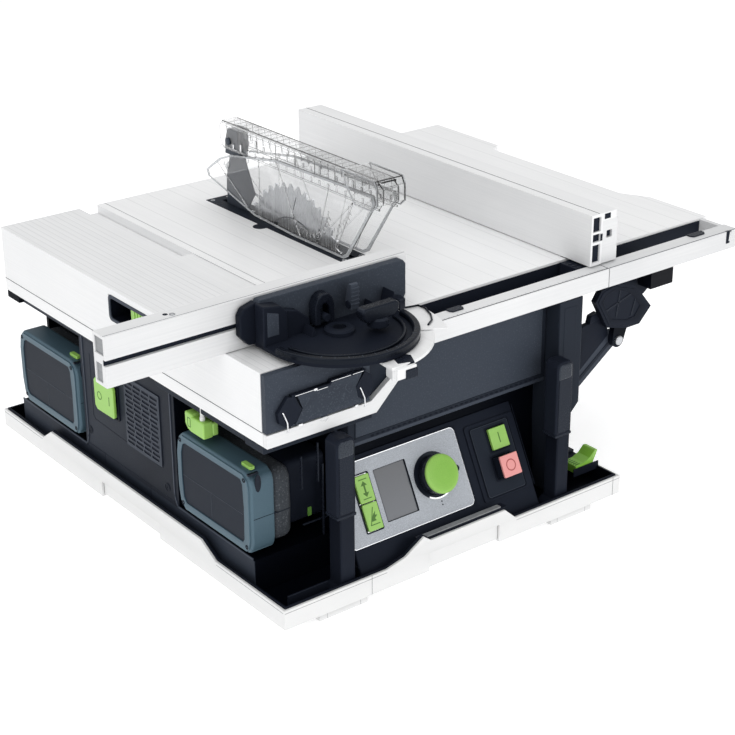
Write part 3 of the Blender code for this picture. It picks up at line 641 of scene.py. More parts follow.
START_HOLE, STOP_HOLE = rrect(263.3, 284.7, 38.5, 59.9, 1.0), rrect(260.7, 282.8, 11.7, 33.3, 1.2)
finish("start_well", flat(rrect(261.2, 286.0, 36.8, 61.4, 1.4), -1.9, 0.2, PANEL, [START_HOLE]), black, "chassis", 0.15)
finish("stop_well", flat(rrect(258.9, 284.6, 10.0, 35.0, 1.4), -1.9, 0.5, PANEL, [STOP_HOLE]), black, "chassis", 0.15)
finish("start_cap", flat(rrect(264, 284, 39.2, 59.2, 0.8), 0.2, 3.0, PANEL), green, "start", 0.4, replaces=("start_button",))
finish("start_mark", flat([(273.5, 44.4), (274.6, 44.4), (274.6, 54.2), (273.5, 54.2)], 2.95, 3.1, PANEL), green_dark, "start")
finish("stop_base", flat(rrect(261.5, 282, 12.5, 32.5, 0.8), 0.7, 9.2, PANEL), black, "stop", 0.3, replaces=("stop_button",))
finish("stop_cap", flat(rrect(261.3, 282.2, 12.3, 32.7, 1.0), 9.2, 11.5, PANEL), red, "stop", 0.5)
finish("stop_mark", flat(ring(271.7, 22.5, 5.6, 32), 11.45, 11.6, PANEL, [ring(271.7, 22.5, 4.6, 32)]), red_dark, "stop")
fine = flat(rrect(245.5, 290.5, -1.5, 64, 2.5), 0.0, 0.16, PANEL, [rrect(246.0, 290.0, -1.0, 63.5, 2.2)])
finish("button_outline", fine, slate_coarse, "chassis")

# ================================================================ batteries and their bays
def battery(tag, y0, body, node):
    """Shell with a framed, recessed face, a textured neck and a dark contact base."""
    yl, yr = y0 + 1.0, y0 + 118.0
    face = [(yl + 6, 26), (yr - 12, 26), (yr - 3, 33), (yr, 48), (yr, 84), (yr - 3, 98), (yr - 10, 104), (yl + 10, 104),
            (yl + 2, 99), (yl, 92), (yl, 38), (yl + 2, 30)]
    inner = [(yl + 13, 35.5), (yr - 14, 35), (yr - 10, 40), (yr - 8.5, 60), (yr - 9, 84), (yr - 12, 93), (yr - 16, 95.5),
             (yl + 14, 96), (yl + 11, 92), (yl + 9.5, 70), (yl + 10.5, 39)]
    shell = flat(face, 6.2, 31, "X")
    finish("battery_shell_" + tag, shell, teal, body, 3.2, 4, replaces=(node,))
    # recessed face: a frame lying on the shell and a dark plate inside it
    finish("battery_frame_" + tag, flat([(yl + 8, 28), (yr - 12, 28), (yr - 5, 35), (yr - 2.5, 50), (yr - 2.5, 83),
                                         (yr - 5, 95), (yr - 11, 101.5), (yl + 11, 101.5), (yl + 4.5, 97.5), (yl + 2.5, 91),
                                         (yl + 2.5, 40), (yl + 4, 32)], 5.0, 6.6, "X", [inner]), teal, body, 0.9, 3)
    finish("battery_face_" + tag, flat(inner, 5.9, 6.4, "X"), slate_dark, body, 0.15)
    ridge = flat([(yl + 12, 62.4), (yr - 10, 62.4), (yr - 10, 62.0), (yl + 12, 62.0)], 5.75, 5.95, "X")
    add(ridge, flat([(yl + 62, 36), (yl + 62.4, 36), (yl + 62.4, 62), (yl + 62, 62)], 5.75, 5.95, "X"))
    finish("battery_face_lines_" + tag, ridge, slate, body)
    heads = bmesh.new()
    for y, z in ((yl + 8, 97), (yr - 8.5, 96.5), (yl + 7, 32.8), (yr - 8.5, 33.5)):
        add(heads, screw_head(4.95, y, z, "-X", 2.1, 0.25))
    finish("battery_screws_" + tag, heads, black, body, 0.05)
    neck = flat([(yl + 3, 30), (yr - 8, 30), (yr - 4, 50), (yr - 4, 84), (yr - 8, 99), (yl + 6, 99), (yl + 2.2, 88), (yl + 1.2, 62),
                 (yl + 2.0, 40)], 30, 51, "X")
    finish("battery_neck_" + tag, neck, neck_grey, body, 7.5, 5)
    finish("battery_base_" + tag, flat(rrect(y0 + 14, y0 + 107, 34, 96, 6), 50, 92.5, "X"), black, body, 1.0)
    seam = flat([(yl - 0.15, 61.2), (yl + 2, 61.2), (yl + 2, 60.7), (yl - 0.15, 60.7)], 8.5, 31, "X")
    add(seam, flat([(yl + 0.9, 59.8), (yl + 3, 59.8), (yl + 3, 59.3), (yl + 0.9, 59.3)], 31, 47, "X"))
    finish("battery_seam_" + tag, seam, slate_dark, body)
    hole = flat(ring(0, 0, 1, 20), 0, 0.5, at(14.0, yl + 0.35, 94.5, "-Y") @ Matrix.Diagonal((3.2, 8.4, 1, 1)))
    finish("battery_eye_" + tag, hole, black_gloss, body, 0.1)
    slot = block(5.6, 16, yl + 1.5, yl + 4.4, 102.6, 104.35)
    finish("battery_top_slot_" + tag, slot, black_gloss, body, 0.3)
    finish("battery_release_" + tag, flat(rrect(12, 17, yl + 8, yl + 22, 1.2), 104.0, 107.0, "Z"), green, body, 0.4)


battery("front", 53, "pack_front", "battery_front")
battery("rear", 350, "pack_rear", "battery_rear")

# bay surrounds: soft outlines around the two battery bays and the middle bank
def loop_strip(name, pts, width, x0, x1, mat, body="chassis", to="X", closed=False):
    """Thin raised or sunk line along a polyline in the (y, z) plane."""
    bm = bmesh.new()
    n = len(pts)
    segs = range(n if closed else n - 1)
    for i in segs:
        a, b = Vector(pts[i]), Vector(pts[(i + 1) % n])
        d = (b - a).normalized()
        nrm = Vector((-d.y, d.x)) * width / 2
        e = d * width * 0.45
        q = [a + nrm - e, b + nrm + e, b - nrm + e, a - nrm - e]
        add(bm, flat([(p.x, p.y) for p in q], x0, x1, to))
    return finish(name, bm, mat, body)


loop_strip("bank_groove", [(329, 121), (329, 57), (326, 53.5), (206, 49), (203, 51)], 0.9, 9.82, 10.1, black)
loop_strip("bank_seams", [(342.5, 22), (250, 22), (187, 22)], 0.7, 9.84, 10.1, black)
loop_strip("bank_seam_up", [(312, 22), (312, -12)], 0.7, 9.84, 10.1, black)
loop_strip("bank_seam_up_2", [(228, 22), (228, -12)], 0.7, 9.84, 10.1, black)
loop_strip("bay_lip_front", [(184.5, 138), (184.5, 30), (180, 20), (60, 20)], 1.6, 9.2, 10.2, slate)
loop_strip("bay_lip_rear", [(341.5, 138), (341.5, 30), (345, 20), (478, 20)], 1.6, 9.2, 10.2, slate)
heads = bmesh.new()
for y, z in ((337.5, 38), (197, 33)):
    add(heads, flat(ring(0, 0, 4.2, 24), -0.2, 0.5, at(10, y, z, "-X"), [ring(0, 0, 3.4, 24)]))
    add(heads, screw_head(9.9, y, z, "-X", 2.6, 0.3))
finish("bank_screws", heads, slate_dark, "chassis", 0.1)

# vent with four columns of short slots over a black sheet of painted shade
slots = []
for i in range(14):
    z = 54.4 + i * 4.72
    for j in range(4):
        y = 205.6 + j * 14.4 + (0.0 if i % 2 else 1.6)
        slots.append(rrect(y, y + 12.4, z, z + 2.5, 0.8, 2))
finish("vent_plate", flat(rrect(203, 265, 51, 122, 1.5), 8.9, 9.7, "X", slots), slate, "chassis", 0.2, replaces=("vent_grille",))
# painted shade behind the vent slots
finish("vent_dark", block(9.55, 9.95, 203.5, 264.5, 51.5, 121.5), black, "chassis")

# green rocker switch
sw = flat([(281, 71.5), (311, 71), (315, 75), (315, 101), (312.5, 104), (281, 104), (279, 102), (279, 73.5)], 4.8, 8, "X")
finish("switch_cap", sw, green, "switch", 0.9, 3, replaces=("main_switch",))
marks = flat([(286.5, 83), (287.6, 83), (287.6, 92), (286.5, 92)], 4.65, 4.85, "X")
add(marks, flat(ring(305, 87.5, 4.2, 24), 4.65, 4.85, "X", [ring(305, 87.5, 3.3, 24)]))
finish("switch_marks", marks, green_dark, "switch")
finish("switch_well", flat(rrect(276.4, 317.4, 68.4, 106.4, 3), 8.6, 9.9, "X", [rrect(278.3, 315.7, 70.2, 104.8, 2)]), black,
       "chassis", 0.2)

# lock lever with a stepped grip and its white rod
lev = flat([(119, 113), (140, 113), (145, 114.5), (149, 119), (149, 130.5), (139, 130.5), (137, 128.5), (119, 128.5)], 3, 13, "X")
finish("lever_grip", lev, green, "lock", 1.6, 3, replaces=("lock_lever",))
finish("lever_shoulder", flat([(118.4, 114), (136, 114), (136, 127), (118.4, 127)], 12, 18.5, "X"), green, "lock", 2.0, 3)
finish("lever_mark", flat([(139.5, 117.5), (144.5, 117.5), (144.5, 126.5), (139.5, 126.5)], 2.88, 3.05, "X",
                          [[(140.3, 118.3), (143.7, 118.3), (143.7, 125.7), (140.3, 125.7)]]), green_dark, "lock")
finish("lever_rod", lathe([(0, 128), (2.4, 128), (2.4, 131.5), (1.9, 132), (1.9, 140.5), (0, 140.5)], at(7, 126, 0), 20), white, "lock")

# dark holder behind the front battery, with ribs and a green tell-tale
ribs = bmesh.new()
for x, z0, z1 in ((60.5, 72, 104), (78, 74, 112), (83, 20, 90), (96, 60, 106)):
    add(ribs, block(x, x + 1.4, 56.2, 58.2, z0, z1))
add(ribs, block(92.3, 95.2, 50, 58, 97, 138))
add(ribs, block(62, 97, 56.6, 58.2, 36, 37.4))
finish("holder_ribs", ribs, black_gloss, "chassis", 0.25)
finish("holder_mark", flat(rrect(67.2, 71.2, 43.5, 52, 0.8), 57.1, 57.9, "Y"), green_dark, "chassis", 0.2)
finish("under_lip", block(4.8, 118, 30.2, 57.5, 133.5, 140.6), slate_dark, "chassis", 0.8)
finish("under_lip_side", block(5.2, 10, 58, 200, 135.5, 140.6), slate_dark, "chassis", 0.6)
finish("corner_rubber", block(5.0, 13, 458, 482.5, 133.0, 140.7), rubber, "chassis", 0.8)

# tray: liner ridge, front latch and small seams
finish("liner_ridge", block(16, 58, 16.6, 18.6, -14.1, 0.6), black_gloss, "chassis", 0.5)
finish("liner_step", block(9.0, 60, 110, 112.5, -14.1, -7), black, "chassis", 0.5)
seams = bmesh.new()
for x in (93.0, 386.5):
    add(seams, block(x, x + 0.35, -0.08, 0.4, -18.6, 0.0))
finish("tray_seams", seams, slate_dark, "chassis")
lining = bmesh.new()
add(lining, block(2.68, 2.94, 200, 305, -16.7, -3.1))
add(lining, block(2.7, 21, 200, 305, -16.75, -16.45))
add(lining, block(393.06, 393.32, 200, 305, -16.7, -3.1))
add(lining, block(375, 393.3, 200, 305, -16.75, -16.45))
add(lining, block(158, 241, 2.68, 2.94, -16.7, -1.1))
add(lining, block(158, 241, 2.7, 20, -16.75, -16.45))
add(lining, block(158, 241, 505.06, 505.32, -16.7, -1.1))
add(lining, block(158, 241, 488, 505.3, -16.75, -16.45))
finish("grip_linings", lining, white, "chassis")
finish("front_handle_trough", block(150, 252, 2.8, 11.6, 13.3, 13.9), black_gloss, "chassis", 0.25)
finish("front_handle_bar", flat(rrect(156, 246, 3.6, 9.4, 1.2, 3), 13.8, 15.0, "Z"), alu_dull_and_shade, "chassis", 0.5)

# ================================================================ sliding table and end cap
finish("pocket_rim", flat(rrect(195.6, 273.4, 175.6, 201.4, 5), 3.9, 5.2, "X", [rrect(199, 270, 179, 198, 3.6)]), slate, "slide",
       0.5)
finish("pocket_liner", flat(rrect(196.4, 272.6, 176.4, 200.6, 4), 5.0, 25.5, "X", [rrect(198.4, 270.6, 178.4, 198.6, 3.6)]),
       black, "slide", 0.2, replaces=("slide_pocket",))
finish("pocket_back", block(23.8, 25.6, 197, 272, 177, 200), black, "slide", 0.2)
btn = flat(rrect(206, 242, 180.2, 197.2, 2.4), 9, 20, "X")
for i in range(6):
    add(btn, block(7.9, 9.2, 210 + i * 4.9, 212.2 + i * 4.9, 183, 195.2))
finish("slide_button_cap", btn, green, "slide_release", 0.4, replaces=("slide_button",))
finish("lip_line", block(4.3, 4.9, 31, 483, 153.5, 153.95), black, "slide")

# end cap: hexagonal finger recesses, label plate, wire clips and slot lines
cap = flat([(4.6, 154.2), (60.4, 154.2), (60.9, 151.4), (63.3, 149.0), (66.0, 150.8), (66.9, 154.2), (111.3, 154.2), (111.3, 190),
            (93.2, 190), (93.2, 206.4), (4.6, 206.4)], 24.6, 30.6, "Y")
finish("end_cap_face", cap, slate_coarse, "slide", 0.35, replaces=("slide_end_cap",))
hexes = flat([(13.5, 171.5), (24, 184), (30.5, 182), (37.8, 169.6), (32, 160), (24, 155.3), (15, 162)], 20.4, 24.5, "Y")
add(hexes, flat([(93.8, 173.4), (103, 185), (110, 180), (111.4, 170), (109, 162), (103.5, 158.4), (96, 163)], 20.4, 24.5, "Y"))
add(hexes, flat([(28, 184.4), (66, 184.6), (68, 187), (104, 187), (104, 185), (69, 185), (67, 182.4), (28, 182)], 20.2, 24.5, "Y"))
finish("cap_recesses", hexes, black, "slide", 0.3, replaces=("tool_holder",))
finish("cap_label_plate", flat([(34, 182), (64, 182.2), (67, 184.6), (101, 184.8), (94.5, 173.4), (97, 163), (101, 156.8), (31, 156.8),
                                (33, 160), (38.8, 169.6)], 20.9, 24.6, "Y"), slate_coarse, "slide", 0.5)
lines = flat([(31, 183.4), (50, 183.5), (50, 182.9), (31, 182.8)], 19.95, 20.3, "Y")
add(lines, flat([(53, 182.2), (64, 182.3), (64, 181.7), (53, 181.6)], 19.95, 20.3, "Y"))
add(lines, flat([(68, 186.1), (88, 186.2), (88, 185.6), (68, 185.5)], 19.95, 20.3, "Y"))
add(lines, flat([(90, 186.2), (101, 186.3), (101, 185.7), (90, 185.6)], 19.95, 20.3, "Y"))
add(lines, flat(rrect(50, 53.4, 182.2, 184.2, 0.7, 3), 19.9, 20.3, "Y"))
add(lines, flat(rrect(33.5, 38, 154.6, 156.6, 0.9, 3), 19.9, 22.0, "Y"))
add(lines, flat(rrect(92, 95.4, 154.9, 156.9, 0.9, 3), 19.9, 22.0, "Y"))
finish("cap_slot_lines", lines, wire, "slide", 0.1)
clips = rod([(18.2, 20.6, 171.5), (18.9, 19.7, 170), (22.2, 19.5, 161.5), (22.6, 19.5, 154.2), (22.6, 21, 152.9)], 0.62, 10)
add(clips, rod([(97.8, 20.6, 171.3), (98.4, 19.7, 169.8), (101.8, 19.5, 161), (102.2, 19.5, 154), (102.2, 21, 152.8)], 0.62, 10))
finish("cap_wire_clips", clips, wire, "slide")
finish("band_notch", flat([(59.6, 153.3), (60.0, 150.2), (63.6, 147.4), (67.2, 150.2), (67.6, 153.3), (66.4, 153.3), (65.9, 150.9),
                           (63.6, 149.2), (61.3, 150.9), (60.8, 153.3)], 23.4, 24.1, "Y"), alu_x, "chassis", 0.2)

# ================================================================ mitre gauge
MX, MY = 96.0, 46.0
disc_o = ring(MX, MY, 68, 60, 186, 354) + [(164, 60), (164, 72), (28, 72), (28, 60)]
finish("mitre_disc", flat(disc_o, 211, 214.6, "Z"), black, "mitre_gauge", 0.6, replaces=("mitre_head",))
rim = ring(MX, MY, 68, 60, 182, 358) + ring(MX, MY, 61.5, 60, 358, 182)
finish("mitre_rim", flat(rim, 213, 219, "Z"), black_gloss, "mitre_gauge", 1.6, 4)
rim = ring(MX, MY, 56, 50, 184, 356) + ring(MX, MY, 53.2, 50, 356, 184)
finish("mitre_inner_rim", flat(rim, 214, 217.2, "Z"), black_gloss, "mitre_gauge", 0.9, 3)
ticks = bmesh.new()
for k in range(-50, 51, 10):
    a = math.radians(-90 + k)
    r0, r1 = (62.6, 66.2) if k % 10 == 0 else (63.6, 66.2)
    m = Matrix.Translation((MX, MY, 0)) @ Matrix.Rotation(a, 4, "Z")
    add(ticks, block(r0, r1, -0.2, 0.2, 218.96, 219.06, m))
finish("mitre_ticks", ticks, slate, "mitre_gauge")
finish("mitre_hub", lathe([(0, 214), (13, 214), (13, 217.5), (11.5, 218.8), (6, 219.2), (5.2, 218.2), (0, 218.2)], at(MX, MY, 0), 40),
       black, "mitre_gauge")
finish("mitre_plate", flat([(31, 212), (184, 212), (187, 219), (187, 247), (184, 250.6), (34, 250.6), (31, 247)], 70.5, 79.4, "Y"), slate_coarse,
       "mitre_gauge", 0.7)
# painted shade: a black block stands in for the dark cavity and its shade left of the mitre plate
finish("mitre_cavity_shade", flat([(14, 222), (22, 213), (31, 212), (31, 249.5), (18, 246), (14, 240)], 71.5, 79.2, "Y"), black, "mitre_gauge",
       1.2, 3)
finish("mitre_block", flat([(28, 212), (52, 212), (52, 240), (46, 246.5), (28, 249.5)], 58, 71, "Y"), black, "mitre_gauge", 1.2, 3)
finish("mitre_block_face", flat([(31.5, 222), (43, 222), (43, 240.5), (31.5, 244)], 57.4, 58.4, "Y"), slate_coarse, "mitre_gauge", 0.5)
finish("mitre_cheek", flat([(52, 212), (80, 212), (78, 226), (66, 236), (52, 240)], 63, 71, "Y"), black, "mitre_gauge", 1.5, 3)
finish("mitre_ribs", add(flat([(70, 214), (76, 214), (73, 223)], 50, 64, "Y"),
                         add(flat([(138, 214), (146, 214), (141.5, 226)], 56, 70, "Y"),
                             flat([(157, 214), (166, 214), (161, 232)], 54, 70, "Y"))), black, "mitre_gauge", 0.6)
nut = flat([(82, 218), (82, 236), (85, 242), (90, 245), (96, 245), (100, 241), (102, 234), (102, 218), (97, 218), (96, 232), (93.5, 236),
            (90.5, 236), (88, 232), (88, 218)], 60, 70.4, "Y")
finish("mitre_nut", nut, black_gloss, "mitre_gauge", 1.1, 3)
finish("mitre_bolt", lathe([(0, 57.5), (3.2, 57.5), (3.6, 58.2), (3.6, 66), (0, 66)], at(92.5, 0, 224, "Y"), 20), black, "mitre_gauge")
teeth = bmesh.new()
for i in range(7):
    a = math.radians(20 + i * 20)
    add(teeth, block(150 + 13 * math.cos(a) - 1.3, 150 + 13 * math.cos(a) + 1.3, 56 + 9 * math.sin(a) - 1.3,
                     56 + 9 * math.sin(a) + 1.3, 214, 221.5))
finish("mitre_index_teeth", teeth, black, "mitre_gauge", 0.4)
finish("mitre_catch", flat([(164, 50), (172, 52), (173.5, 60), (169, 68), (164, 70)], 214, 224, "Z"), black_gloss, "mitre_gauge", 1.0)

lever = flat([(58, 224), (67, 224), (67, 232), (62.5, 247), (58.5, 247), (58, 236)], 118, 126, "X")
for i in range(5):
    add(lever, block(117.5, 126.5, 57.4, 58.6, 228 + i * 3.6, 229.7 + i * 3.6))
finish("clamp_lever", lever, slate, "mitre_lever", 0.6, replaces=("mitre_clamp",))
finish("clamp_hub", lathe([(0, 117.2), (3.4, 117.2), (3.8, 118), (3.8, 126), (3.4, 126.8), (0, 126.8)], at(0, 62.5, 228, "X"), 24),
       black, "mitre_lever")
finish("knob_stem", lathe([(0, 219.7), (8.6, 219.7), (9.6, 220.6), (9.6, 226.5), (7.5, 228.2), (0, 228.2)], at(122, 27, 0), 36),
       black_gloss, "mitre_lock", replaces=("mitre_knob",))
finish("knob_wing", flat([(107, 226.0), (137, 226.0), (141, 231), (142, 237), (138.5, 239.5), (105.5, 239.5), (102, 237), (103, 231)],
                         21.6, 32.4, "Y"), black_gloss, "mitre_lock", 2.6, 4)

# swivel base crescent, pointer clip and wire stop
finish("clip_body", flat([(-38.2, 198.6), (-20.5, 198.6), (-20.5, 209.6), (-33, 209.6), (-38.2, 206)], 100.5, 112.7, "X"), black_gloss,
       "slide", 0.6)
finish("clip_tail", flat([(113, -24), (120, -10), (127, -3), (124, 1), (112, -8), (106, -18)], 207.6, 210.75, "Z"), black, "slide", 0.4)
finish("clip_arm", flat([(98, -30), (112, -34), (118, -22), (112, -12), (103, -14)], 207.2, 210.7, "Z"), black_gloss, "slide", 0.5)
finish("clip_screw", lathe([(0, 209.4), (3.2, 209.4), (3.2, 210.4), (2.8, 210.8), (1.4, 210.8), (1.2, 210.2), (0, 210.2)], at(108.5, -29, 0), 22), black, "slide")
finish("clip_wedge", flat([(90, -33), (101.5, -36.6), (103.5, -24), (97, -18), (92, -22)], 199.0, 207.2, "Z"), alu_x, "slide", 0.4)
loop = rod([(164, 56, 213.2), (174, 55, 213.4), (186, 52, 213.4), (187, 44, 213.3), (182, 30, 213.1), (175, 20, 213.0),
            (166, 14, 213.0)], 0.9, 10)
finish("wire_stop", loop, black_gloss, "mitre_gauge")
finish("scale_crescent", flat(ring(MX, MY, 92, 24, -30, 6) + ring(MX, MY, 66, 24, 6, -30), 211.0, 212.0, "Z"), alu, "mitre_gauge", 0.2)

# ================================================================ mitre fence: painted shade in the T-slot, end cells and top hole; top screw
# painted shade: black strip in the T-slot, dark aluminium in the end cells, black disc in the top hole
finish("fence_slot_shade", block(-107.2, 194.6, 83.2, 83.9, 226.6, 231.4), black, "mitre_bar")
finish("fence_cells_shade", add(block(-106.4, -105.9, 86.2, 95.3, 210.8, 226.8), block(-106.4, -105.9, 82.8, 95.3, 235.2, 249.1)),
       alu_dull_and_shade, "mitre_bar")
finish("fence_far_cells_shade", add(block(193.6, 194.1, 86.2, 95.3, 210.8, 226.8), block(193.6, 194.1, 82.8, 95.3, 235.2, 249.1)),
       alu_dull_and_shade, "mitre_bar")
finish("fence_top_hole_shade", flat(ring(-45, 90.5, 2.2, 20), 251.95, 252.12, "Z"), black, "mitre_bar")
finish("fence_top_screw", flat(ring(-40.5, 87.0, 2.6, 24), 251.9, 252.5, "Z", [ring(-40.5, 87, 1.5, 6)]), steel, "mitre_bar", 0.15)
finish("fence_top_line", block(-107.4, 194.8, 82.1, 82.5, 251.98, 252.08), slate, "mitre_bar")

# ================================================================ blade guard: clear, ribbed, with bright edges
top_rail = flat([(137.5, 277), (144, 269), (396, 269), (402.5, 277), (402.5, 291.5), (397.5, 296.5), (146, 296.5), (137.5, 290)],
                214.6, 216.0, "X")
add(top_rail, flat([(137.5, 277), (144, 269), (396, 269), (402.5, 277), (402.5, 291.5), (397.5, 296.5), (146, 296.5), (137.5, 290)],
                   232.0, 233.4, "X"))
finish("guard_cheeks", top_rail, glass, "saw_lift", 0.3, replaces=("guard_top",))
cross = bmesh.new()
for i in range(24):
    y = 146 + i * 10.6
    add(cross, block(216.1, 231.9, y, y + 1.3, 286.5 if i % 3 else 276, 294.6))
add(cross, block(216.1, 231.9, 141, 400, 294.8, 296.4))
add(cross, block(216.1, 231.9, 137.7, 139.2, 277, 290))
finish("guard_cross_ribs", cross, glass, "saw_lift", 0.15)
lip = bmesh.new()
for x in (213.3, 233.5):
    add(lip, block(x, x + 1.2, 141, 400, 269.3, 271.2))
    add(lip, block(x, x + 1.2, 143, 398, 292.6, 295.2))
    for i in range(18):
        y = 150 + i * 13.4
        add(lip, block(x, x + 1.2, y, y + 2.2, 271.4, 276.0 + (3.0 if i % 4 == 0 else 0)))
finish("guard_lip_teeth", lip, glass, "saw_lift", 0.2)

def shield_set(tag, x0, x1, xr0, xr1, body, node):
    out = [(193, 209.4), (275, 209.4), (340, 212.2), (423, 233.5), (425.5, 240), (400, 257.6), (380, 265.6), (300, 279.6),
           (146, 283.4), (143.4, 276), (186, 213.4)]
    finish("shield_sheet_" + tag, flat(out, x0, x1, "X"), glass, body, 0.35, replaces=(node,))
    c = (sum(p[0] for p in out) / len(out), sum(p[1] for p in out) / len(out))
    inner = [(c[0] + (y - c[0]) * 0.972, c[1] + (z - c[1]) * 0.935) for y, z in out]
    finish("shield_edge_" + tag, flat(out, xr0, xr1, "X", [inner]), glass_edge, body, 0.2)
    ribs = bmesh.new()
    for y0, z0, y1, z1 in ((206, 212, 178, 268), (236, 212, 214, 276), (262, 212, 300, 277), (330, 214, 330, 272), (352, 218, 404, 252),
                           (300, 277, 404, 238), (178, 268, 236, 214)):
        a, b = Vector((y0, z0)), Vector((y1, z1))
        d = (b - a).normalized()
        nn = Vector((-d.y, d.x)) * 0.6
        add(ribs, flat([tuple(a + nn), tuple(b + nn), tuple(b - nn), tuple(a - nn)], xr0, xr1, "X"))
    for i in range(13):
        a = math.radians(200 + i * 9)
        cy, cz = 250, 256
        add(ribs, flat([(cy + 36 * math.cos(a - 0.03), cz + 36 * math.sin(a - 0.03)), (cy + 36 * math.cos(a + 0.03), cz + 36 * math.sin(a + 0.03)),
                        (cy + 41 * math.cos(a), cz + 41 * math.sin(a))], xr0, xr1, "X"))
    add(ribs, flat(ring(250, 256, 35.5, 30, 190, 320) + ring(250, 256, 34.3, 30, 320, 190), xr0, xr1, "X"))
    add(ribs, flat(ring(388, 254, 4.8, 22), xr0, xr1, "X", [ring(388, 254, 3.2, 22)]))
    finish("shield_ribs_" + tag, ribs, glass, body, 0.1)


shield_set("left", 211.7, 213.1, 211.0, 211.7, "shield_left", "guard_shield_left")
shield_set("right", 234.9, 236.3, 236.3, 237.0, "shield_right", "guard_shield_right")
finish("guard_pivot", lathe([(0, 213.4), (3.6, 213.4), (4.0, 213.6), (4.0, 214.6), (0, 214.6)], at(0, 388, 277, "X"), 24), knife_dark,
       "saw_lift")
finish("guard_pivot_far", lathe([(0, 233.4), (4.0, 233.4), (4.0, 234.3), (3.6, 234.6), (0, 234.6)], at(0, 388, 277, "X"), 24),
       knife_dark, "saw_lift")
finish("knife_clip", flat([(374, 262), (399, 262), (396, 279), (392, 289.5), (374, 289.5)], 217.4, 230.6, "X"), knife_dark, "saw_lift",
       0.8)

nose = bmesh.new()
for x in (207.8, 238.6):
    add(nose, flat([(137.4, 292), (141, 298.2), (189, 298.2), (178, 279), (170, 270), (144, 270), (137.4, 276)], x, x + 1.5, "X"))
add(nose, flat([(141, 297.2), (189, 297.2), (189, 298.4), (141, 298.4)], 207.8, 240.1, "X"))
add(nose, block(207.8, 240.1, 136.4, 137.6, 276, 292))
finish("guard_nose", nose, glass, "saw_tilt", 0.25)
rimn = bmesh.new()
for x in (207.3, 240.1):
    add(rimn, flat([(136.6, 292.4), (140.6, 299.0), (190, 299.0), (179, 278.6), (170.4, 269.2), (143.6, 269.2), (136.6, 275.6)], x, x + 0.6,
                   "X", [[(138.2, 291.6), (141.4, 297.2), (187.4, 297.2), (177.8, 279.6), (169.6, 270.8), (144.4, 270.8), (138.2, 276.4)]]))
finish("guard_nose_rim", rimn, glass_edge, "saw_tilt", 0.15)
finish("insert_tab", flat(ring(205.5, 322, 7.5, 22, 80, 280) + [(208.8, 313), (208.8, 331)], 206.6, 207.2, "Z"), slate_dark, "chassis", 0.15)
# painted shade in the channel between the front rail and the table and wing edges
finish("table_edge_shade", block(124, 391, 66.9, 67.9, 187.4, 204.4), black, "chassis")
finish("gap_floor_shade", block(119, 391, 42, 66.8, 186.45, 186.9), black, "chassis")
finish("wing_edge_shade", block(394, 560, 66.9, 67.9, 187.4, 204.4), black, "wing")

# ================================================================ rails, scale strip and clamps
finish("rail_scale", block(186, 391.2, 25.0, 25.7, 206.35, 206.62), black, "chassis")
scale = bmesh.new()
for i in range(41):
    x = 190 + i * 5
    add(scale, block(x, x + 0.3, 26.2, 26.2 + (2.2 if i % 2 == 0 else 1.4), 206.38, 206.46))
finish("rail_ticks", scale, alu_dull_and_shade, "chassis")
finish("rail_line_wing", block(393, 566.6, 24.9, 25.5, 206.35, 206.6), slate, "wing")
finish("rail_joint", block(391.72, 392.2, 24.3, 40.6, 188.2, 206.3), black, "chassis")
clamp = flat([(210, 33), (222, 33), (224, 36), (224, 41.2), (208, 41.2), (208, 36)], 206.5, 207.6, "Z")
finish("rail_clamp", clamp, black_gloss, "chassis", 0.3)
finish("rail_clamp_wing", flat([(515, 33), (530, 33), (533, 36), (533, 41.2), (513, 41.2), (513, 36)], 206.5, 207.6, "Z"), black_gloss,
       "wing", 0.3)
# painted shade: a black patch on the front face for the dark slot at the rail's end
finish("rail_slot_shade", flat([(551.8, 194.4), (556.8, 194.4), (556.8, 199), (558.4, 206.6), (551.8, 206.6)], 23.65, 24.2, "Y"), black,
       "wing", 0.1)
finish("rail_slot_tongue", flat([(555.2, 196.4), (556.3, 196.4), (557.6, 205.8), (556.2, 205.8)], 23.45, 23.7, "Y"), alu_x, "wing", 0.05)
finish("rail_end_cap", flat([(561.2, 190.4), (566.3, 190.4), (566.3, 205.1), (561.2, 205.1)], 67.8, 68.4, "Y"), black, "wing", 0.2)

# table: seam to the wing, insert screws and a T-slot along the left edge
ins = bmesh.new()
for x, y in ((213.5, 194.5), (233, 194.5), (213.5, 419.5), (233, 419.5)):
    add(ins, flat(ring(x, y, 2.4, 22), 206.7, 207.15, "Z", [ring(x, y, 1.2, 6)]))
finish("insert_screws", ins, steel, "chassis", 0.1)
finish("insert_finger_hole", flat(ring(213.5, 407, 4.5, 26), 206.9, 207.12, "Z", [ring(213.5, 407, 3.6, 26)]), black_gloss, "chassis")
finish("table_slot_lines", add(block(121.6, 122.2, 69, 482, 206.95, 207.08), block(380.4, 380.9, 69, 482, 206.95, 207.08)), alu_dull_and_shade,
       "chassis")
# painted shade: a black sheet under the table
finish("under_table_shade", block(124, 207.6, 79, 472, 200.4, 200.95), black, "chassis")
cover = flat([(378, 66.4), (391.5, 66.4), (391.5, 75.4), (378, 75.4)], 206.9, 207.5, "Z")
finish("table_corner_clip", cover, black, "chassis", 0.2)

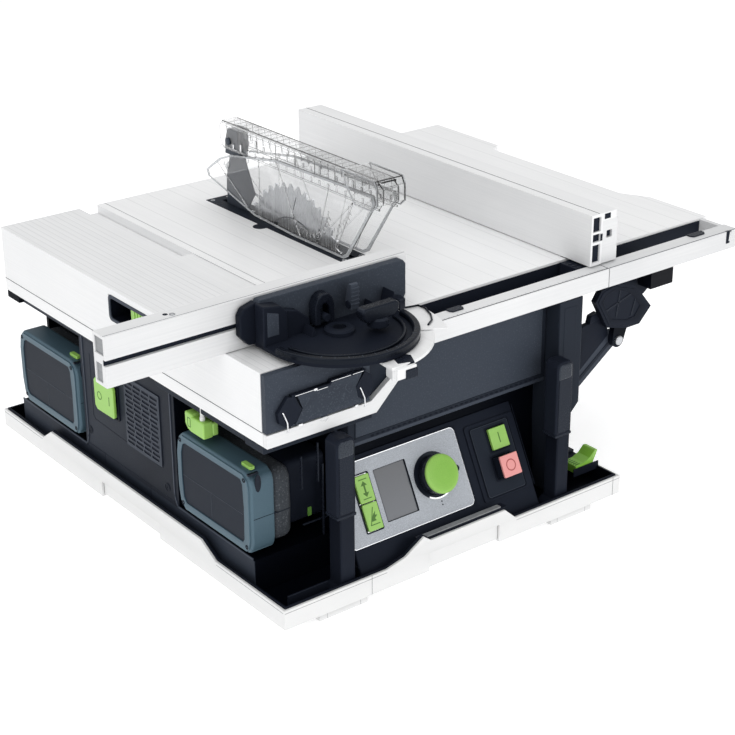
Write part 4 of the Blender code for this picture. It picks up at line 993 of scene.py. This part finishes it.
# ================================================================ front panel, pillar and posts
loop_strip("panel_outline", [(107.5, 112), (107.5, 134), (112, 137.4), (124, 140), (155, 169.5), (183, 183.5), (326, 183.5), (326, 112),
                             (107.5, 112)], 0.8, 41.0, 41.45, slate_dark, to="Y")
finish("panel_field", flat([(108.4, 113), (325.2, 113), (325.2, 182.6), (183.4, 182.6), (155.6, 168.6), (124.6, 139.2), (112.4, 136.6),
                            (108.4, 133.4)], 41.05, 41.42, "Y"), slate_coarse, "chassis", 0.2)
dots = bmesh.new()
for i in range(33):
    add(dots, block(125 + i * 6, 128.2 + i * 6, 40.6, 41.2, 109.0, 110.4))
finish("panel_lip_dots", dots, black, "chassis", 0.2)
sh = flat([(101, 104.5), (331, 104.5), (331, 108.2), (101, 108.2)], 41.6, 57.5, "Y")
finish("panel_lip", sh, slate, "chassis", 0.9, 3)
finish("pillar_field", flat([(337, 84), (345, 84), (352.5, 91), (352.5, 180), (337, 180)], 24.25, 24.6, "Y"), slate_dark, "chassis", 0.15)
heads = bmesh.new()
for x, y, z in ((342.5, 24.1, 48), (342.5, 24.1, 8)):
    add(heads, screw_head(x, y, z, "-Y", 2.6, 0.5))
finish("pillar_screws", heads, black_gloss, "chassis", 0.1)


def post_cap(tag, x0, x1):
    pts = [(x0 + 3.4, -12), (x1 - 1.4, -12), (x1 - 1.2, 62), (x1 - 0.3, 64), (x1 - 0.3, 131)]
    pts += ring(x1 - 6.2, 130.8, 5.9, 6, 0, 90)[1:] + ring(x0 + 6.2, 130.8, 5.9, 6, 90, 180)
    pts += [(x0 + 0.3, 64), (x0 + 3.2, 62)]
    inset = [(x0 + 5.2, 66), (x1 - 2.6, 66), (x1 - 2.6, 128)] + ring((x0 + x1) / 2, 128, (x1 - x0) / 2 - 2.8, 8, 0, 180)[1:] + [(x0 + 2.8, 66)]
    finish("post_face_" + tag, flat(inset, 6.55, 7.1, "Y"), black_gloss, "chassis", 0.4)
    # painted highlight: a lighter glossy piece over the rounded top of each post
    shine = [(x0 + 1.4, 119), (x1 - 1.4, 119), (x1 - 1.4, 130.6)] + ring(x1 - 6.2, 130.6, 4.8, 6, 0, 90)[1:]
    shine += ring(x0 + 6.2, 130.6, 4.8, 6, 90, 180)
    finish("post_cap_highlight_" + tag, flat(shine, 6.2, 22, "Y"), cap_gloss_highlight, "chassis", 2.4, 5)
    finish("post_step_" + tag, flat([(x0 - 0.2, 61.4), (x1 + 0.2, 61.4), (x1 + 0.2, 64.4), (x0 - 0.2, 64.4)], 6.6, 24.2, "Y"), black_gloss,
           "chassis", 0.8)
    finish("post_foot_" + tag, flat([(x0 - 5, -13.8), (x1 + 5, -13.8), (x1 + 3, -8), (x1 - 1, -4), (x0 + 3, -4), (x0 - 3, -8)], 6.7, 25, "Y"),
           black, "chassis", 0.6)


post_cap("left", 62, 82)
post_cap("right", 314, 334)

# cowl: soft shoulder around the panel, dark button bank on its right
finish("cowl_band", flat(rrect(240, 299.5, -4.5, 68, 3), -1.9, -0.6, PANEL, [rrect(244, 292, -2.6, 65, 2.4)]), black, "chassis")
finish("cowl_field", flat(rrect(246.2, 289.8, -0.8, 63.3, 2.2), -1.9, 0.05, PANEL,
                          [rrect(261.2, 286.0, 36.8, 61.4, 1.4), rrect(258.9, 284.6, 10.0, 35.0, 1.4)]), slate_dark, "chassis")
seam = block(230.4, 230.9, -4, 74, -0.2, 0.08, PANEL)
add(seam, block(300.4, 300.9, -4, 74, -0.2, 0.08, PANEL))
finish("cowl_seams", seam, black, "chassis")
finish("cowl_side_ribs", add(block(89.4, 90.2, 14, 56, 2, 3.2), add(block(89.4, 90.2, 24, 56, 30, 31.2), block(89.4, 90.2, 42, 56, 58, 59.2))),
       slate_dark, "chassis", 0.3)

# ================================================================ rip fence end, bracket and carriage
fence = [(377.3, 207.9), (391.7, 207.9), (391.7, 249.8), (409.2, 249.8), (409.2, 257.8), (377.3, 257.8)]
cells = [[(379.6, 210.6), (389.4, 210.6), (389.4, 228.2), (379.6, 228.2)], [(379.6, 230.8), (389.4, 230.8), (389.4, 254.7), (379.6, 254.7)]]
finish("fence_end_frame", flat(fence, 35.2, 36.1, "Y", cells), alu, "rip_fence_set", 0.2)
# painted shade: black plates inside the end cells of the fence
dark = flat([(379.9, 211.1), (389.1, 211.1), (389.1, 227.9), (379.9, 227.9)], 37.4, 38.4, "Y")
add(dark, flat([(379.9, 231.1), (389.1, 231.1), (389.1, 254.4), (379.9, 254.4)], 37.4, 38.4, "Y"))
finish("fence_end_shade", dark, black, "rip_fence_set")
bars = flat([(379.4, 238.6), (389.6, 238.6), (389.6, 240.8), (379.4, 240.8)], 35.25, 37.4, "Y")
finish("fence_end_bar", bars, alu, "rip_fence_set", 0.15)
# painted shade in the small side cells
finish("fence_side_cells_shade", add(flat([(389.2, 231.2), (391.6, 231.2), (391.6, 237.8), (389.2, 237.8)], 34.9, 35.3, "Y"),
                               flat([(393.6, 251.4), (401.0, 251.4), (401.0, 256.4), (393.6, 256.4)], 34.9, 35.3, "Y")), black,
       "rip_fence_set")
finish("fence_top_slot", block(387.6, 388.3, 36.2, 494.8, 257.52, 257.68), slate_dark, "rip_fence_set")
# painted shade in the far end's cells
finish("fence_far_shade", add(flat([(379.9, 211.1), (389.1, 211.1), (389.1, 227.9), (379.9, 227.9)], 492.2, 493.2, "Y"),
                             flat([(379.9, 231.1), (389.1, 231.1), (389.1, 254.4), (379.9, 254.4)], 492.2, 493.2, "Y")), black,
       "rip_fence_set")
# painted shade in the bracket window
finish("bracket_window_shade", block(398.2, 404.8, 38.6, 39.2, 232.2, 238.8), black, "rip_fence_set")
finish("carriage_ribs", add(block(370, 418, 44.2, 45.4, 205.7, 206.4), add(block(370, 418, 50, 51.2, 205.7, 206.4),
                            block(370, 418, 56, 57.2, 205.7, 206.4))), black_gloss, "rip_fence_set", 0.2)
finish("carriage_lever", flat([(405, 43.5), (419, 43.5), (419, 58), (412, 65), (405, 65)], 205.8, 209.5, "Z"), black_gloss,
       "rip_fence_set", 0.8)

# ================================================================ brace: bosses, rivets and ribbing
up = flat([(401, 163.5), (407, 172), (420, 175.6), (449, 166), (470, 143), (457.6, 129.6), (442, 129.6), (417, 136.4), (410.6, 147)],
          44.9, 45.7, "Y", [[(408, 162), (412, 168), (424, 171), (444, 163), (458, 147), (451, 137), (440, 136), (420, 142), (414, 150)]])
finish("brace_frame", up, black, "brace_top", 0.4)
finish("brace_head", flat([(407, 175.5), (418, 187.6), (484, 187.6), (487.5, 184), (478, 169), (462, 157), (450, 166), (421, 177)],
                          45.6, 50.9, "Y", [ring(467, 178, 4.6, 24)]), black, "brace_top", 0.5)
finish("brace_gusset", flat([(377, 83), (384, 95), (385, 134), (391, 139), (399, 140), (415, 143), (424, 128), (425, 117), (382, 80)],
                            53.3, 58.7, "Y"), black, "brace_bottom", 0.5)
finish("brace_spur", flat([(398, 139), (412, 142.6), (409, 149), (400, 147)], 52.6, 58.9, "Y"), black, "brace_bottom", 0.4)
ribs = bmesh.new()
for a, b in (((412, 152), (446, 162)), ((426, 142), (430, 169)), ((446, 138), (452, 156))):
    a, b = Vector(a), Vector(b)
    d = (b - a).normalized()
    nn = Vector((-d.y, d.x)) * 0.9
    add(ribs, flat([tuple(a + nn), tuple(b + nn), tuple(b - nn), tuple(a - nn)], 45.0, 45.7, "Y"))
finish("brace_ribs", ribs, black_gloss, "brace_top", 0.2)
finish("brace_top_boss", lathe([(4.4, 42.6), (7.4, 42.6), (7.8, 43.2), (7.8, 46), (4.4, 46)], at(467, 0, 178, "Y"), 28), black_gloss,
       "brace_top")
finish("brace_mid_rivet", lathe([(0, 43.2), (3.6, 43.2), (4.6, 44.0), (4.8, 45.8), (0, 45.8)], at(431, 0, 117, "Y"), 28), steel,
       "brace_top")
finish("brace_low_boss", lathe([(4.3, 51.2), (6.4, 51.2), (6.7, 51.8), (6.7, 53.1), (4.3, 53.1)], at(371, 0, 73, "Y"), 28), black,
       "brace_bottom")
finish("brace_low_rib", flat([(379, 81), (424, 114), (426, 111), (381, 78)], 52.4, 53.1, "Y"), slate_dark, "brace_bottom", 0.3)
# ================================================================ blade and tray latch
gul = bmesh.new()
for i in range(5):
    a = 2 * math.pi * i / 5 + 0.3
    p0 = (288 + 58 * math.cos(a), 171 + 58 * math.sin(a))
    p1 = (288 + 73 * math.cos(a + 0.08), 171 + 73 * math.sin(a + 0.08))
    d = Vector((p1[0] - p0[0], p1[1] - p0[1])).normalized()
    nn = Vector((-d.y, d.x)) * 0.5
    add(gul, flat([(p0[0] + nn.x, p0[1] + nn.y), (p1[0] + nn.x, p1[1] + nn.y), (p1[0] - nn.x, p1[1] - nn.y), (p0[0] - nn.x, p0[1] - nn.y)],
                  223.02, 224.98, "X"))
finish("blade_slots", gul, black, "blade")
finish("blade_print", flat(ring(288, 171, 50, 60), 223.04, 224.96, "X", [ring(288, 171, 49, 60)]), slate_dark, "blade")
tips = bmesh.new()
for i in range(42):
    a = 2 * math.pi * i / 42
    c0 = Vector((288 + 81.9 * math.cos(a + 0.004), 171 + 81.9 * math.sin(a + 0.004)))
    r = Vector((math.cos(a), math.sin(a)))
    t = Vector((-r.y, r.x))
    q = [c0 + r * 1.9, c0 + t * 1.6 + r * 1.6, c0 + t * 1.4 - r * 2.0, c0 - r * 2.2]
    add(tips, flat([tuple(p) for p in q], 222.9, 225.1, "X"))
finish("blade_tips", tips, wire, "blade")

lt = bmesh.new()
for i in range(5):
    add(lt, block(365.2, 377.0, 29.6 + i * 3.0, 30.8 + i * 3.0, 7.4, 8.7))
finish("latch_ribs", lt, green_dark, "latch", 0.2)
finish("latch_edge", flat([(386.5, 9.5), (390.4, 18.4), (388.6, 18.4), (384.8, 11.5)], 27.6, 44.4, "Y"), green, "latch", 0.5)
finish("latch_seat", block(360, 393, 26.5, 27.6, -2, 6.5), black, "chassis", 0.4)
finish("latch_shelf", block(374, 392.4, 47, 128, -2, 2.6), black, "chassis", 0.8)
finish("latch_shelf_step", block(381, 392.4, 60, 118, 2.4, 5.6), black_gloss, "chassis", 0.8)
finish("latch_seat_back", block(360, 393, 44.6, 45.8, -2, 6.5), black, "chassis", 0.4)

# ================================================================ tray: rim lines, corner foot pads and their lines
rim = bmesh.new()
add(rim, block(0.4, 110, -0.05, 0.4, -3.0, -2.5))
add(rim, block(262, 395.6, -0.05, 0.4, -3.0, -2.5))
add(rim, block(-0.05, 0.4, 2, 104, -3.0, -2.5))
add(rim, block(-0.05, 0.4, 424, 506, -3.0, -2.5))
add(rim, block(395.6, 396.05, 2, 104, -3.0, -2.5))
add(rim, block(395.6, 396.05, 424, 506, -3.0, -2.5))
add(rim, block(0.4, 110, 507.6, 508.05, -3.0, -2.5))
add(rim, block(262, 395.6, 507.6, 508.05, -3.0, -2.5))
finish("rim_lines", rim, alu_dull_and_shade, "chassis")
pads = bmesh.new()
for fx, fy in ((37, 1), (307, 1), (37, 478), (307, 478)):
    add(pads, block(fx + 4, fx + 48, fy + 4, fy + 25, -25.0, -24.6))
finish("foot_pads", pads, rubber, "chassis", 0.15)
fs = bmesh.new()
for fx in (37, 307):
    for fy in (1, 478):
        add(fs, block(fx + 8, fx + 8.4, fy - 0.05, fy + 0.3, -24.6, -19))
        add(fs, block(fx + 44, fx + 44.4, fy - 0.05, fy + 0.3, -24.6, -19))
finish("foot_lines", fs, alu_dull_and_shade, "chassis")

# ================================================================ right side and back of the housing
loop_strip("right_outline", [(76, 10), (76, 62), (90, 62), (450, 62), (462, 50), (462, 10), (76, 10)], 0.9, 349.85, 350.12, black)
loop_strip("right_outline_up", [(76, 92), (76, 178), (462, 178), (462, 92), (76, 92)], 0.9, 359.85, 360.12, black)
slots = [rrect(320 + i * 12, 327 + i * 12, 108, 160, 2.4, 4) for i in range(9)]
finish("right_vent", flat(rrect(312, 424, 102, 166, 3), 359.9, 361.0, "X", slots), slate, "chassis", 0.3)
# painted shade behind the right vent's slots
finish("right_vent_dark", block(359.6, 360.25, 315, 421, 105, 163), black, "chassis")
heads = bmesh.new()
for y, z in ((84, 100), (84, 170), (454, 100), (454, 170), (265, 100)):
    add(heads, screw_head(360, y, z, "X", 3.0, 0.5))
for y, z in ((84, 18), (454, 18), (265, 18)):
    add(heads, screw_head(350, y, z, "X", 3.0, 0.5))
finish("right_screws", heads, black_gloss, "chassis", 0.1)
rb = bmesh.new()
for i in range(6):
    add(rb, flat([(110 + i * 30, 80.5), (112 + i * 30, 80.5), (112 + i * 30, 96), (110 + i * 30, 96)], 359.7, 361.2, "X"))
finish("right_ribs", rb, slate, "chassis", 0.4)

loop_strip("back_outline", [(112, 8), (112, 128), (124, 150), (124, 178), (350, 178), (350, 84), (342, 70), (342, 8), (112, 8)], 0.9,
           -480.12, -479.85, black, to=AX["Y"])
flange = flat(ring(300, 60, 27, 44), 480.0, 482.6, "Y", [ring(300, 60, 18.3, 40)])
finish("dust_flange", flange, slate, "chassis", 0.7)
fr = bmesh.new()
for h in (486.5, 491.5, 496.5):
    add(fr, flat(ring(300, 60, 18.9, 44), h, h + 1.6, "Y", [ring(300, 60, 17.9, 40)]))
finish("dust_port_rings", fr, black_gloss, "chassis", 0.3)
heads = bmesh.new()
for x, z in ((279, 39), (321, 39), (279, 81), (321, 81), (122, 16), (332, 16), (134, 168), (340, 168)):
    add(heads, screw_head(x, 480, z, "Y", 3.0, 0.5))
finish("back_screws", heads, black_gloss, "chassis", 0.1)
slots = [rrect(150, 226, 52 + i * 7, 55.4 + i * 7, 1.5, 4) for i in range(9)]
finish("back_vent", flat(rrect(144, 232, 46, 118, 3), 480.0, 481.1, "Y", slots), slate, "chassis", 0.3)
# painted shade behind the back vent's slots
finish("back_vent_dark", block(147, 229, 479.7, 480.3, 49, 115), black, "chassis")
keys = bmesh.new()
for i in range(2):
    z = 142 + i * 16
    add(keys, block(200, 262, 480.0, 483.0, z - 1.2, z + 1.2))
finish("back_ledges", keys, slate, "chassis", 0.6)

# ================================================================ camera, lights, floor
cam_data = bpy.data.cameras.new("main_camera")
cam = bpy.data.objects.new("main_camera", cam_data)
SCENE.collection.objects.link(cam)
cam.matrix_world = Matrix(((0.7903, 0.2554, -0.5569, -0.9429), (-0.6126, 0.3189, -0.7232, -1.2760),
                           (-0.0072, 0.9127, 0.4085, 0.8120), (0, 0, 0, 1)))
cam_data.lens = 85.91
cam_data.sensor_width = 36.0
cam_data.clip_start = 0.05
cam_data.clip_end = 50
SCENE.camera = cam

bm = bmesh.new()
bmesh.ops.create_grid(bm, x_segments=1, y_segments=1, size=9.0)
me = bpy.data.meshes.new("studio_floor")
bm.to_mesh(me)
bm.free()
floor = bpy.data.objects.new("studio_floor", me)
SCENE.collection.objects.link(floor)
floor.location = (0, 0, -0.0005)
me.materials.append(floor_mat("studio_paper"))

world = bpy.data.worlds.new("studio_white")
world.use_nodes = True
world.node_tree.nodes["Background"].inputs[0].default_value = (1.0, 1.0, 1.0, 1)
world.node_tree.nodes["Background"].inputs[1].default_value = 0.58
SCENE.world = world
SCENE.view_settings.view_transform = "Standard"
SCENE.view_settings.look = "None"
SCENE.view_settings.exposure = 0.0


def softbox(name, loc, target, size, power, color=(1, 1, 1)):
    ld = bpy.data.lights.new(name, "AREA")
    ld.shape = "RECTANGLE"
    ld.size, ld.size_y = size
    ld.energy = power
    ld.color = color
    ob = bpy.data.objects.new(name, ld)
    SCENE.collection.objects.link(ob)
    ob.location = loc
    ob.rotation_euler = (Vector(target) - Vector(loc)).to_track_quat("-Z", "Y").to_euler()
    return ob


softbox("key_left", (-1.6, -0.9, 1.7), (0, 0, 0.15), (1.8, 1.8), 15)
softbox("top", (0.2, 0.4, 2.1), (0, 0, 0.2), (2.6, 2.2), 16)
softbox("front_fill", (0.5, -2.0, 0.7), (0, 0, 0.12), (1.8, 0.9), 8)
